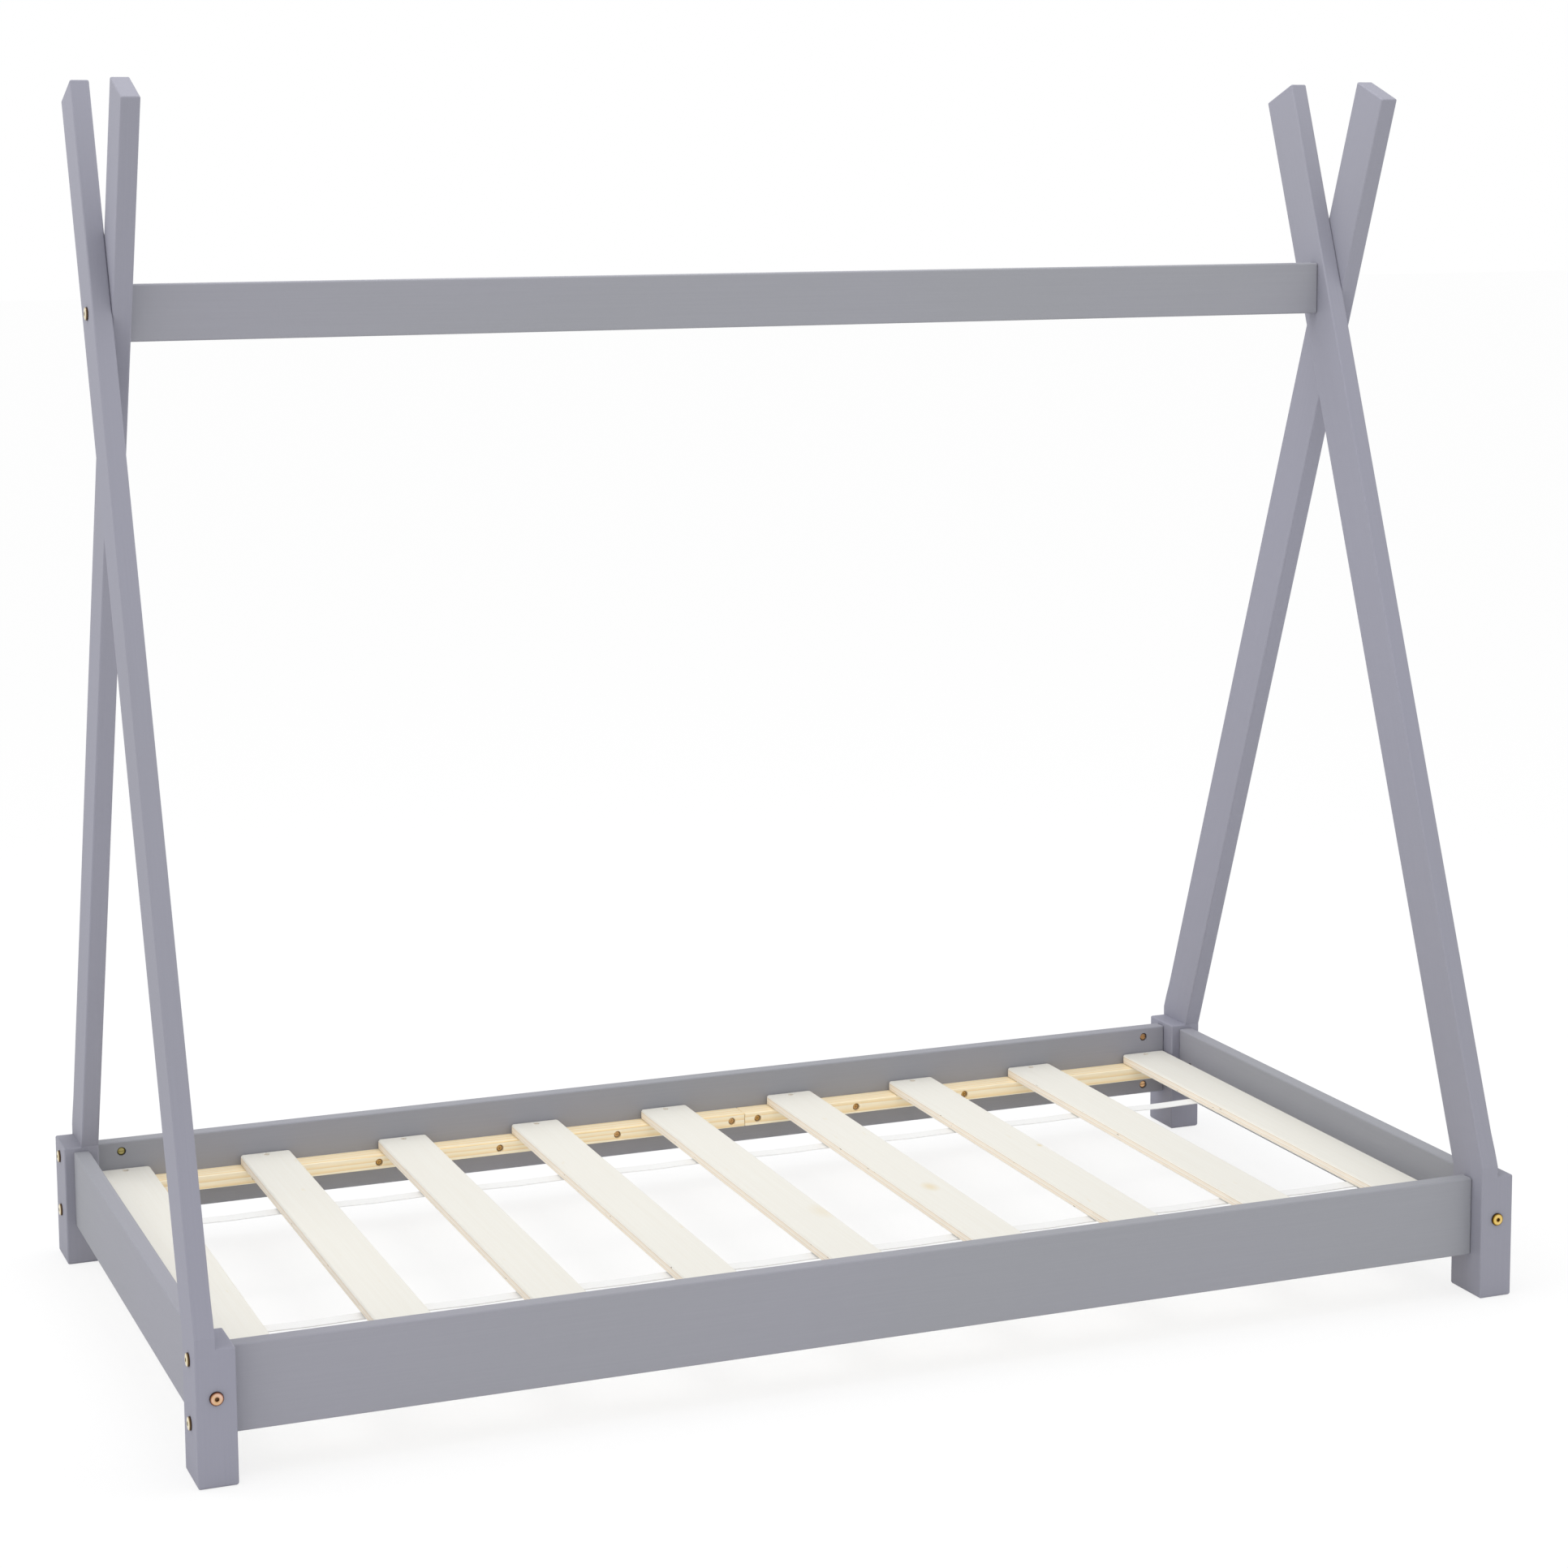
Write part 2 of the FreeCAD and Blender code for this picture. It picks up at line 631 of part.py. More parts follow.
def make_side_rail_fittings():
    """Two bolts with barrel nuts at each end of each side rail."""
    spread = val("size.side_bolt_spacing / 2")
    heights = [val("calc.rail_middle") + sign * spread for sign in SIGNS]
    outer = val("calc.half_length")
    middle = val("calc.half_width - calc.side_rail_middle")
    nut_along = val("calc.bay_length / 2 - size.nut_inset")
    nut_across = val("calc.side_rail_inner + size.nut_recess")
    bolts = []
    nuts = []
    for height in heights:
        for x in SIGNS:
            for y in SIGNS:
                bolts.append((Vector(x * outer, y * middle, height), ALONG * x, UP))
                nuts.append((Vector(x * nut_along, y * nut_across, height), ACROSS * -y, ALONG))
    bolt = bolt_pattern("SideBolt", "calc.leg_width + size.nut_inset + size.bolt_tip")
    group("side_rail_bolts", bolt, bolts)
    nut = nut_pattern("RailNut", "size.rail_thickness - 2 * size.nut_recess")
    group("side_rail_barrel_nuts", nut, nuts)


def make_end_rail_fittings():
    """One bolt with a barrel nut and two dowels at each end of each end rail."""
    height = val("calc.rail_middle")
    spread = val("size.rail_dowel_spacing / 2")
    middle = val("calc.half_length - calc.leg_width / 2")
    outer = val("calc.half_width")
    dowel_end = val("calc.end_rail_length / 2 + size.dowel_length / 2")
    nut_along = val("calc.end_rail_length / 2 - size.nut_inset")
    nut_across = middle - val("size.rail_thickness / 2 - size.nut_recess")
    bolts = []
    nuts = []
    dowels = []
    for x in SIGNS:
        for y in SIGNS:
            bolts.append((Vector(x * middle, y * outer, height), ACROSS * y, UP))
            nuts.append((Vector(x * nut_across, y * nut_along, height), ALONG * -x, ACROSS))
            for z in SIGNS:
                dowels.append((Vector(x * middle, y * dowel_end, height + z * spread), ACROSS * y, UP))
    bolt = bolt_pattern("EndBolt", "size.pole_width + size.nut_inset + size.bolt_tip")
    group("end_rail_bolts", bolt, bolts)
    nut = nut_pattern("EndNut", "size.rail_thickness - 2 * size.nut_recess")
    group("end_rail_barrel_nuts", nut, nuts)
    dowel = pin_pattern("RailDowel", "size.dowel_diameter", "size.dowel_length")
    group("end_rail_dowels", dowel, dowels)


def make_ridge_fittings():
    """One bolt through both crossed poles, with a barrel nut and a dowel, at each end of the ridge."""
    height = val("calc.ridge_middle")
    outer = val("calc.half_length")
    nut_along = val("calc.bay_length / 2 - size.nut_inset")
    nut_across = val("size.ridge_thickness / 2 - size.nut_recess")
    dowel_end = val("calc.bay_length / 2 + size.ridge_dowel_in_pole")
    dowel_height = height - val("size.ridge_dowel_drop")
    bolts = [(Vector(x * outer, 0, height), ALONG * x, UP) for x in SIGNS]
    nuts = [(Vector(x * nut_along, nut_across, height), ACROSS, ALONG) for x in SIGNS]
    dowels = [(Vector(x * dowel_end, 0, dowel_height), ALONG * x, UP) for x in SIGNS]
    bolt = bolt_pattern("RidgeBolt", "calc.leg_width + size.nut_inset + size.bolt_tip")
    group("ridge_bolts", bolt, bolts)
    nut = nut_pattern("RidgeNut", "size.ridge_thickness - 2 * size.nut_recess")
    group("ridge_barrel_nuts", nut, nuts)
    dowel = pin_pattern("RidgeDowel", "size.dowel_diameter", "size.ridge_dowel_length")
    group("ridge_dowels", dowel, dowels)


def make_screws():
    """The screws that hold the ledgers to the side rails and the slats to the ledgers."""
    half = val("calc.bay_length / 2")
    seat = val("calc.side_rail_inner") - val("calc.ledger_screw_seat")
    height = val("size.ledger_top - size.ledger_height / 2")
    ledger = []
    for along in rail_screws():
        for y in SIGNS:
            ledger.append((Vector(y * (half - val(along)), y * seat, height), ACROSS * -y, ALONG))
    screw = headed_pattern("LedgerScrew", "ledger_screw", "size.ledger_screw_length")
    group("ledger_screws", screw, ledger)
    seat = val("size.ledger_top + calc.slat_screw_seat")
    across = val("calc.slat_length / 2 - size.slat_screw_inset")
    slats = []
    for along in slat_middles():
        for y in SIGNS:
            slats.append((Vector(val(along) - half, y * across, seat), UP, ALONG))
    screw = headed_pattern("SlatScrew", "slat_screw", "size.slat_screw_length")
    group("slat_screws", screw, slats)


def check_and_write():
    """Stop at the first failed object or bad shape, then write each sub-part to its own file."""
    doc.recompute()
    failed = [item.Label for item in doc.Objects if "Invalid" in item.State or "Error" in item.State]
    failed += [node.Label for node in nodes if node.Shape.isNull() or not node.Shape.isValid()]
    if failed:
        raise RuntimeError(f"these did not build: {failed}")
    cuts = [item for item in doc.Objects if "Subtractive" in item.TypeId]
    idle = [cut.Label for cut in cuts if not cut.Shape.Volume < cut.BaseFeature.Shape.Volume]
    if idle:
        raise RuntimeError(f"these cut nothing: {idle}")
    os.makedirs("parts", exist_ok=True)
    for node in nodes:
        node.Shape.exportStep(f"parts/{node.Label}.step")
    print(f"{len(nodes)} sub-parts written")


make_legs()
make_side("front", "-", "-", 0)
make_side("back", "", "", 180)
make_ends()
make_ridge_beam()
make_slats()
make_strap("strap_front", "-size.strap_front_distance")
make_strap("strap_back", "size.strap_back_distance")
make_side_rail_fittings()
make_end_rail_fittings()
make_ridge_fittings()
make_screws()
check_and_write()
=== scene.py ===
"""A teepee bed: painted pine frame, pine ledgers, plywood slats on webbing straps, yellow-zinc bolts.

Shapes are worked out in millimetres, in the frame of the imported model, and written to the meshes in metres.
"""
import math
import bpy
import numpy as np
from mathutils import Matrix, Vector


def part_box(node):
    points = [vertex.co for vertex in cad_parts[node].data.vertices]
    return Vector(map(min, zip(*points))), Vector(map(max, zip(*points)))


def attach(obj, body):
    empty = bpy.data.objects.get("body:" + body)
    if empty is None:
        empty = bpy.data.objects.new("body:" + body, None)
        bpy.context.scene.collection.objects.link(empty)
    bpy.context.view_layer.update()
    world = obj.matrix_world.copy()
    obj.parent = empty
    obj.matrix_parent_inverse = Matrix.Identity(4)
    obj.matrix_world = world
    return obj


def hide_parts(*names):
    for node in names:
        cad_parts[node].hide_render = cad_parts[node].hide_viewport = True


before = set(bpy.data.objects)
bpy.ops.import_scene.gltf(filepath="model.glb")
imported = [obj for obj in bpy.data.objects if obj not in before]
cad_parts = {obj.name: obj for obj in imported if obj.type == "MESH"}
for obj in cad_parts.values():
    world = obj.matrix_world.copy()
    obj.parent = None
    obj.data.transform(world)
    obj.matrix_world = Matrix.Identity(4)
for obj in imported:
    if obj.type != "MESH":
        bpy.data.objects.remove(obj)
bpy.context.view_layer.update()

MM = 0.001
X, Y, Z = np.eye(3)
SIGNS = (-1.0, 1.0)


def node_box(name):
    """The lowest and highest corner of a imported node, in millimetres."""
    low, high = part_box(name)
    return np.array(low) / MM, np.array(high) / MM


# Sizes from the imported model
BLOCK_LOW, BLOCK_HIGH = node_box("leg_block_back_right")
RAIL_LOW, RAIL_HIGH = node_box("side_rail_back")
END_LOW, END_HIGH = node_box("end_rail_right")
RIDGE_LOW, RIDGE_HIGH = node_box("ridge_beam")
SLATS = [node_box(f"slat_{number}") for number in range(1, 10)]
STRAPS = ("strap_front", "strap_back")
POLE_THICKNESS, POLE_WIDTH, SHOULDER = BLOCK_HIGH - BLOCK_LOW
LEG_WIDTH = 2 * POLE_THICKNESS
BAY = RAIL_HIGH[0]
HALF_LENGTH = BAY + LEG_WIDTH
HALF_WIDTH = BLOCK_HIGH[1]
RAIL_MIDDLE = (RAIL_LOW + RAIL_HIGH) / 2
END_MIDDLE = (END_LOW + END_HIGH) / 2
RIDGE_MIDDLE = (RIDGE_LOW + RIDGE_HIGH) / 2

# The lean of the poles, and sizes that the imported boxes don't give, in millimetres
LEAN = math.radians(20.65)
KINK = SHOULDER + POLE_WIDTH * math.tan(LEAN / 2)
PAINT_ROUND = 2.0
FOOT_ROUND = 3.4
LEDGER_ROUND = 0.9
SLAT_ROUND = 2.6
SLAT_CORNER = 5.0
STRAP_SAG = 0.7
STAPLE_HALF = 5.0
BOLT_HEAD = 7.0
BOLT_TIP = 8.0
SIDE_BOLT_SPACING = 64.0
NUT_RADIUS = 5.0
NUT_INSET = 30.0
NUT_RECESS = 2.0
NUT_HOLE = 5.2
NUT_HOLE_DEPTH = 16.0
LEDGER_SCREW = {"shank": 2.0, "length": 36.0, "head": 4.0, "height": 2.4}
LEDGER_SCREW_INSET = 17.0
LEDGER_BORE = 4.5
LEDGER_BORE_DEPTH = 5.0
SLAT_SCREW = {"shank": 1.5, "length": 18.0, "head": 3.0, "height": 2.0}
SLAT_SCREW_INSET = 10.0
SLAT_BORE = 3.5
SLAT_BORE_DEPTH = 5.0
# Where the screws of a ledger strip are between its two end ones
SCREW_SHARES = {"short": np.array((0.0, 0.235, 0.5, 0.765, 1.0)),
                "long": np.array((0.0, 0.197, 0.394, 0.591, 0.788, 1.0))}
# Where along the wood each board is cut, so that no two show the same grain
POLE_GRAIN, BLOCK_GRAIN = 2300.0, 900.0
RAIL_GRAIN = {"front": 11000.0, "back": 14000.0, "left": 17000.0, "right": 19000.0}
RIDGE_GRAIN = 21000.0
LEDGER_GRAIN = {"short": 2000.0, "long": 2400.0}
SLAT_GRAIN, SLAT_GRAIN_STEP = 30000.0, 1700.0
END_FACE_GRAIN = 1000.0


# A patch is (points, normals, uv, faces): arrays of n points, n normals, n grain coordinates along and
# around the piece, and the faces as rows of indices
WELD, WELD_SHIFT = 0.002, 0.137


def grid_patch(points, normals, uv, closed=True, skip=None):
    """Quads over a grid of (rings, points); `closed` joins the last point of a ring to its first, and
    `skip` = (column, first ring, last ring) leaves a stretch of one column open."""
    rings, count = points.shape[:2]
    columns = np.arange(count if closed else count - 1)
    here = np.arange(rings - 1)[:, None] * count
    after = (columns + 1) % count
    quads = np.stack([here + columns, here + after, here + count + after, here + count + columns], -1)
    keep = np.ones(quads.shape[:2], bool)
    if skip:
        column, first, last = skip
        keep[first:last, column] = False
    return points.reshape(-1, 3), normals.reshape(-1, 3), uv.reshape(-1, 2), quads[keep]


def flat_patch(points, normal, uv):
    """One flat face with many corners."""
    normals = np.broadcast_to(normal, points.shape)
    return points, normals, uv, np.arange(len(points))[None]


def placed(patch, centre, facing, across):
    """A patch with its own Z axis turned to `facing` and its own X axis to `across`, moved to `centre`."""
    points, normals, uv, faces = patch
    axes = np.stack([across, np.cross(facing, across), facing])
    return points @ axes + centre, normals @ axes, uv, faces


def make_piece(name, patches, material, replaces=None):
    """Join patches into one closed mesh: points in the same small cell are welded, with the cells shifted
    so that round sizes fall inside them, and each corner of a face keeps the normal of its own patch, so
    that flat faces stay flat beside rounded ones."""
    points = np.concatenate([patch[0] for patch in patches])
    normals = np.concatenate([patch[1] for patch in patches])
    uv = np.concatenate([patch[2] for patch in patches]) * MM
    cells = np.round(points / WELD + WELD_SHIFT)
    _, first, same = np.unique(cells, axis=0, return_index=True, return_inverse=True)
    same = same.reshape(-1)
    faces = []
    start = 0
    for patch in patches:
        block = patch[3] + start
        double = same[block] == same[np.roll(block, -1, axis=1)]
        whole = ~double.any(axis=1)
        faces += block[whole].tolist()
        merged = [row[~twice].tolist() for row, twice in zip(block[~whole], double[~whole])]
        faces += [face for face in merged if len(face) > 2]
        start += len(patch[0])
    corners = np.concatenate(faces)
    ends = np.cumsum([len(face) for face in faces])[:-1]
    mesh = bpy.data.meshes.new(name)
    mesh.from_pydata(points[first] * MM, [], [part.tolist() for part in np.split(same[corners], ends)])
    mesh.polygons.foreach_set("use_smooth", np.ones(len(faces), bool))
    mesh.uv_layers.new(name="grain").data.foreach_set("uv", uv[corners].ravel())
    mesh.normals_split_custom_set(normals[corners].tolist())
    mesh.materials.append(material)
    piece = bpy.data.objects.new(name, mesh)
    bpy.context.scene.collection.objects.link(piece)
    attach(piece, "root")
    if replaces:
        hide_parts(replaces)
    return piece


# Boards are rounded rectangles carried along a path. The column of an outline's grid where each flat side
# starts follows from the points of a corner.
CORNER_POINTS = 6
SIDE_COLUMN = {"right": CORNER_POINTS - 1, "top": 2 * CORNER_POINTS - 1, "left": 3 * CORNER_POINTS - 1}
HOLE_STEPS = 32


def rounded_rings(sides, radii):
    """Rounded rectangles, one for each row of `sides` (left, right, low, high) and `radii` (corners low
    right, high right, high left, low left): each corner is a quarter circle about a centre one radius in
    from its two sides. Gives points and outward normals, both (rings, points, 2)."""
    turn = np.arange(4)[:, None] * np.pi / 2 + np.linspace(-np.pi / 2, 0, CORNER_POINTS)
    round_off = np.stack([np.cos(turn), np.sin(turn)], -1)
    left, right, low, high = sides.T
    low_right, high_right, high_left, low_left = radii.T
    centres = np.stack([
        np.stack([right - low_right, low + low_right], -1),
        np.stack([right - high_right, high - high_right], -1),
        np.stack([left + high_left, high - high_left], -1),
        np.stack([left + low_left, low + low_left], -1)], 1)
    points = centres[:, :, None] + radii[:, :, None, None] * round_off
    normals = np.broadcast_to(round_off, points.shape)
    return points.reshape(len(sides), -1, 2), normals.reshape(len(sides), -1, 2)


def end_rings(radius):
    """A rounded end: distances from the end, insets of the outline there and tilts of the normal, all
    along a quarter circle of the radius."""
    tilt = np.linspace(np.pi / 2, 0, CORNER_POINTS)
    return radius * (1 - np.sin(tilt)), radius * (1 - np.cos(tilt)), tilt


def around(points):
    """The distance of each point round an outline from its first point."""
    steps = np.linalg.norm(np.diff(points, axis=0), axis=-1)
    return np.concatenate([[0], np.cumsum(steps)])


def carried(path, sides, radii, tilts, grain, drop=None):
    """A rounded rectangle carried along a path, closed by a flat face at each end. `path` is (origins,
    A, B, T, straight B) for the rings: points are origin + a A + b B, and normals lean from the outline's
    own towards T by the tilt, which can differ for the sides that face along A and along B."""
    origin, a_axis, b_axis, t_axis, b_square = path
    outline, outward = rounded_rings(sides, radii)
    a, b = outline[..., :1], outline[..., 1:]
    points = origin[:, None] + a * a_axis[:, None] + b * b_axis[:, None]
    flat = outward[..., :1] * a_axis[:, None] + outward[..., 1:] * b_square[:, None]
    lean = (outward ** 2 * tilts.reshape(len(tilts), 1, -1)).sum(-1, keepdims=True)
    normals = np.cos(lean) * flat + np.sin(lean) * t_axis[:, None]
    middle = outline[len(outline) // 2]
    girth = around(np.concatenate([middle, middle[:1]]))
    uv = np.stack(np.broadcast_arrays(grain[:, None], girth), -1)
    joined = [np.concatenate([rows, rows[:, :1]], 1) for rows in (points, normals)]
    shell = grid_patch(*joined, uv, closed=False, skip=drop)
    first = flat_patch(points[0, ::-1], -t_axis[0], outline[0, ::-1] + grain[0] + END_FACE_GRAIN)
    last = flat_patch(points[-1], t_axis[-1], outline[-1] + grain[-1] + 2 * END_FACE_GRAIN)
    return [shell, first, last], points, girth


def drilled_plate(at, along, start, way, inward, length, holes, grain):
    """A flat strip between two rings, with a round blind hole wherever one is centred on a ring. `at` is
    the rings' places along the strip; (s, q) on it is start + (s - at[0]) along + q way. The strip
    between two rings is one face: up the first ring and round the far half of each hole on it, across,
    and down the next ring round the near half of each hole there."""
    half = np.linspace(0, np.pi, HOLE_STEPS // 2 + 1)
    patches = []

    def lift(s, q, depth=0.0):
        spread = np.stack(np.broadcast_arrays(s, q, depth), -1)
        return start + (spread[..., :1] - at[0]) * along + spread[..., 1:2] * way + spread[..., 2:] * inward

    for first, second in zip(at[:-1], at[1:]):
        edge = [np.array([[first, 0.0]])]
        for s, q, radius, _ in holes:
            if s == first:
                edge.append(np.stack([s + radius * np.sin(half), q - radius * np.cos(half)], -1))
        edge.append(np.array([[first, length], [second, length]]))
        for s, q, radius, _ in reversed(holes):
            if s == second:
                edge.append(np.stack([s - radius * np.sin(half), q + radius * np.cos(half)], -1))
        edge.append(np.array([[second, 0.0]]))
        s, q = np.concatenate(edge).T
        patches.append(flat_patch(lift(s, q), -inward, np.stack([s, q], -1) + grain))
    turn = np.linspace(0, 2 * np.pi, HOLE_STEPS, endpoint=False)
    for s, q, radius, depth in holes:
        rim_s, rim_q = s + radius * np.cos(turn), q - radius * np.sin(turn)
        levels = np.array([[0.0], [depth]])
        wall = lift(rim_s, rim_q, levels)
        spoke = -np.cos(turn)[:, None] * along + np.sin(turn)[:, None] * way
        uv = np.stack(np.broadcast_arrays(rim_s, rim_q + levels), -1) + grain
        patches.append(grid_patch(wall, np.broadcast_to(spoke, wall.shape), uv))
        patches.append(flat_patch(wall[1], -inward, uv[1]))
    return patches


def board(name, run, rounding, material, shift, side, holes, corner_round=None):
    """A straight board that fills its node's box, rounded on every edge, with blind holes in one side.
    `run` is the way its length goes, X or Y, a hole is (place along, height or, on top, place across,
    radius, depth) in the model's millimetres, and `corner_round` is the radius of its corners seen from
    above."""
    low, high = node_box(name)
    origin, a_axis = (low, Y) if run is X else (np.array([high[0], low[1], low[2]]), -X)
    length, width, height = (high - low) @ np.stack([run, np.abs(a_axis), Z], -1)
    begin, plan_inset, plan_tilt = end_rings(corner_round or rounding)
    edge_tilt = np.arcsin(np.clip(1 - begin / rounding, 0, 1))
    insets = np.stack([plan_inset, rounding * (1 - np.cos(edge_tilt))], -1)
    tilt = np.stack([plan_tilt, edge_tilt], -1)
    centres = np.unique([hole[0] - origin @ run for hole in holes])
    at = np.concatenate([begin, centres, length - begin[::-1]])
    level = np.zeros((len(centres), 2))
    a_inset, b_inset = np.concatenate([insets, level, insets[::-1]]).T
    tilts = np.concatenate([-tilt, level, tilt[::-1]])
    sides = np.stack([a_inset, width - a_inset, b_inset, height - b_inset], -1)
    radii = np.repeat(np.maximum(rounding - b_inset, 0)[:, None], 4, axis=1)
    count = len(at)
    spread = [np.broadcast_to(axis, (count, 3)) for axis in (a_axis, Z, run, Z)]
    path = (origin + at[:, None] * run, *spread)
    column = SIDE_COLUMN[side]
    first, last = len(begin) - 1, count - len(begin)
    patches, points, girth = carried(path, sides, radii, tilts, at + shift, (column, first, last))
    start = points[first, column]
    edge = points[first, column + 1] - start
    reach = np.linalg.norm(edge)
    way = edge / reach
    crossing = np.abs(way).argmax()
    bored = sorted((place - origin @ run, abs(across - start[crossing]), radius, depth)
                   for place, across, radius, depth in holes)
    grain = np.array([shift, girth[column]])
    inward = -np.cross(way, run)
    patches += drilled_plate(at[first:last + 1], run, start, way, inward, reach, bored, grain)
    return make_piece(f"board_{name}", patches, material, name)


def standing(name, corner, turned_round, rings, material):
    """A piece that stands on the floor at a corner of the bed, in that corner's own frame: A along the
    bed, B in from the outer face, turned half round at the back."""
    sides, radii, tilts, origin, b_axis, t_axis, b_square, grain = rings
    sign = -1.0 if turned_round else 1.0
    turn = np.array([sign, sign, 1.0])
    a_axis = np.broadcast_to(X * sign, (len(sides), 3))
    path = (origin * turn + corner, a_axis, b_axis * turn, t_axis * turn, b_square * turn)
    patches, *_ = carried(path, sides, radii, tilts, grain)
    return make_piece(f"board_{name}", patches, material, name)


def leg_block(name, corner, turned_round, material, shift):
    """The block of a leg: a standing board rounded on every edge but those of its glued face, a = 0."""
    foot_at, foot_inset, foot_tilt = end_rings(FOOT_ROUND)
    top_at, top_inset, top_tilt = end_rings(PAINT_ROUND)
    at = np.concatenate([foot_at, SHOULDER - top_at[::-1]])
    inset = np.concatenate([foot_inset, top_inset[::-1]])
    tilts = np.concatenate([-foot_tilt, top_tilt[::-1]])
    rounded = np.maximum(PAINT_ROUND - inset, 0)
    sharp = np.zeros(len(at))
    sides = np.stack([sharp, POLE_THICKNESS - inset, inset, POLE_WIDTH - inset], -1)
    radii = np.stack([rounded, rounded, sharp, sharp], -1)
    spread = [np.broadcast_to(axis, (len(at), 3)) for axis in (Y, Z, Y)]
    rings = (sides, radii, tilts, at[:, None] * Z, *spread, at + shift)
    return standing(name, corner, turned_round, rings, material)


def pole(name, corner, turned_round, material, shift):
    """A pole: its foot goes straight up to the mitre, and from there it leans. The edges of the foot's
    glued side, a = thickness, are square, and above the mitre their rounding grows to the full one by the
    square of a sine."""
    grow_from, grow_to, grow_steps = 12.0, 42.0, 7
    lean_along = np.array([0.0, math.sin(LEAN), math.cos(LEAN)])
    lean_across = np.array([0.0, math.cos(LEAN), -math.sin(LEAN)])
    mitre = np.array([0.0, 1.0, (SHOULDER - KINK) / POLE_WIDTH])
    length = (node_box(name)[1][2] - KINK) / math.cos(LEAN)
    foot_at, foot_inset, foot_tilt = end_rings(FOOT_ROUND)
    top_at, top_inset, top_tilt = end_rings(PAINT_ROUND)
    rise = np.concatenate([np.linspace(grow_from, grow_to, grow_steps), length - top_at[::-1]])
    feet, risen = len(foot_at), len(rise)
    level = np.zeros(2 + grow_steps)
    inset = np.concatenate([foot_inset, level, top_inset[::-1]])
    glued_inset = np.concatenate([np.zeros(feet), level, top_inset[::-1]])
    tilts = np.concatenate([-foot_tilt, level, top_tilt[::-1]])
    rounded = np.maximum(PAINT_ROUND - inset, 0)
    growth = np.sin(np.linspace(0, np.pi / 2, grow_steps)) ** 2
    grown = np.concatenate([np.zeros(feet + 2), PAINT_ROUND * growth, rounded[-len(top_at):]])
    sides = np.stack([inset, POLE_THICKNESS - glued_inset, inset, POLE_WIDTH - inset], -1)
    radii = np.stack([grown, grown, rounded, rounded], -1)
    bend = [KINK * Z, KINK * Z]
    origin = np.concatenate([foot_at[:, None] * Z, bend, KINK * Z + rise[:, None] * lean_along])
    b_axis = np.concatenate([np.tile(Y, (feet, 1)), [mitre, mitre], np.tile(lean_across, (risen, 1))])
    b_square = np.concatenate([np.tile(Y, (feet + 1, 1)), np.tile(lean_across, (risen + 1, 1))])
    t_axis = np.concatenate([np.tile(Z, (feet + 1, 1)), np.tile(lean_along, (risen + 1, 1))])
    grain = np.concatenate([foot_at, [KINK, KINK], KINK + rise]) + shift
    rings = (sides, radii, tilts, origin, b_axis, t_axis, b_square, grain)
    return standing(name, corner, turned_round, rings, material)


def strap(name, material):
    """A webbing strap: a thin outline, rounded over from above, carried along the bed, level under each
    slat and sagging between them by the square of a sine."""
    rings, over, under = 193, 0.85, 0.1
    low, high = node_box(name)
    length, width, thick = high - low
    at = np.linspace(0, length, rings)
    middles = np.array(SLATS)[:, :, 0].mean(1)
    pitch = middles[1] - middles[0]
    half_slat = (SLATS[0][1] - SLATS[0][0])[0] / 2
    beat = (at + low[0] - middles[0]) / pitch
    from_slat = np.abs((beat + 0.5) % 1 - 0.5) * pitch - half_slat
    clear = np.clip(from_slat / (pitch / 2 - half_slat), 0, 1)
    inside = (at > half_slat) & (at < length - half_slat)
    dip = STRAP_SAG * np.sin(clear * np.pi / 2) ** 2 * inside
    along = np.stack([np.ones_like(at), np.zeros_like(at), np.gradient(-dip, at)], -1)
    along /= np.linalg.norm(along, axis=-1, keepdims=True)
    up = np.cross(along, Y)
    origin = low + at[:, None] * X - dip[:, None] * Z
    sides = np.tile([0.0, width, 0.0, thick], (rings, 1))
    radii = np.tile(thick * np.array([under, over, over, under]), (rings, 1))
    path = (origin, np.tile(Y, (rings, 1)), up, along, up)
    patches, *_ = carried(path, sides, radii, np.zeros(rings), at)
    return make_piece(f"webbing_{name}", patches, material, name)


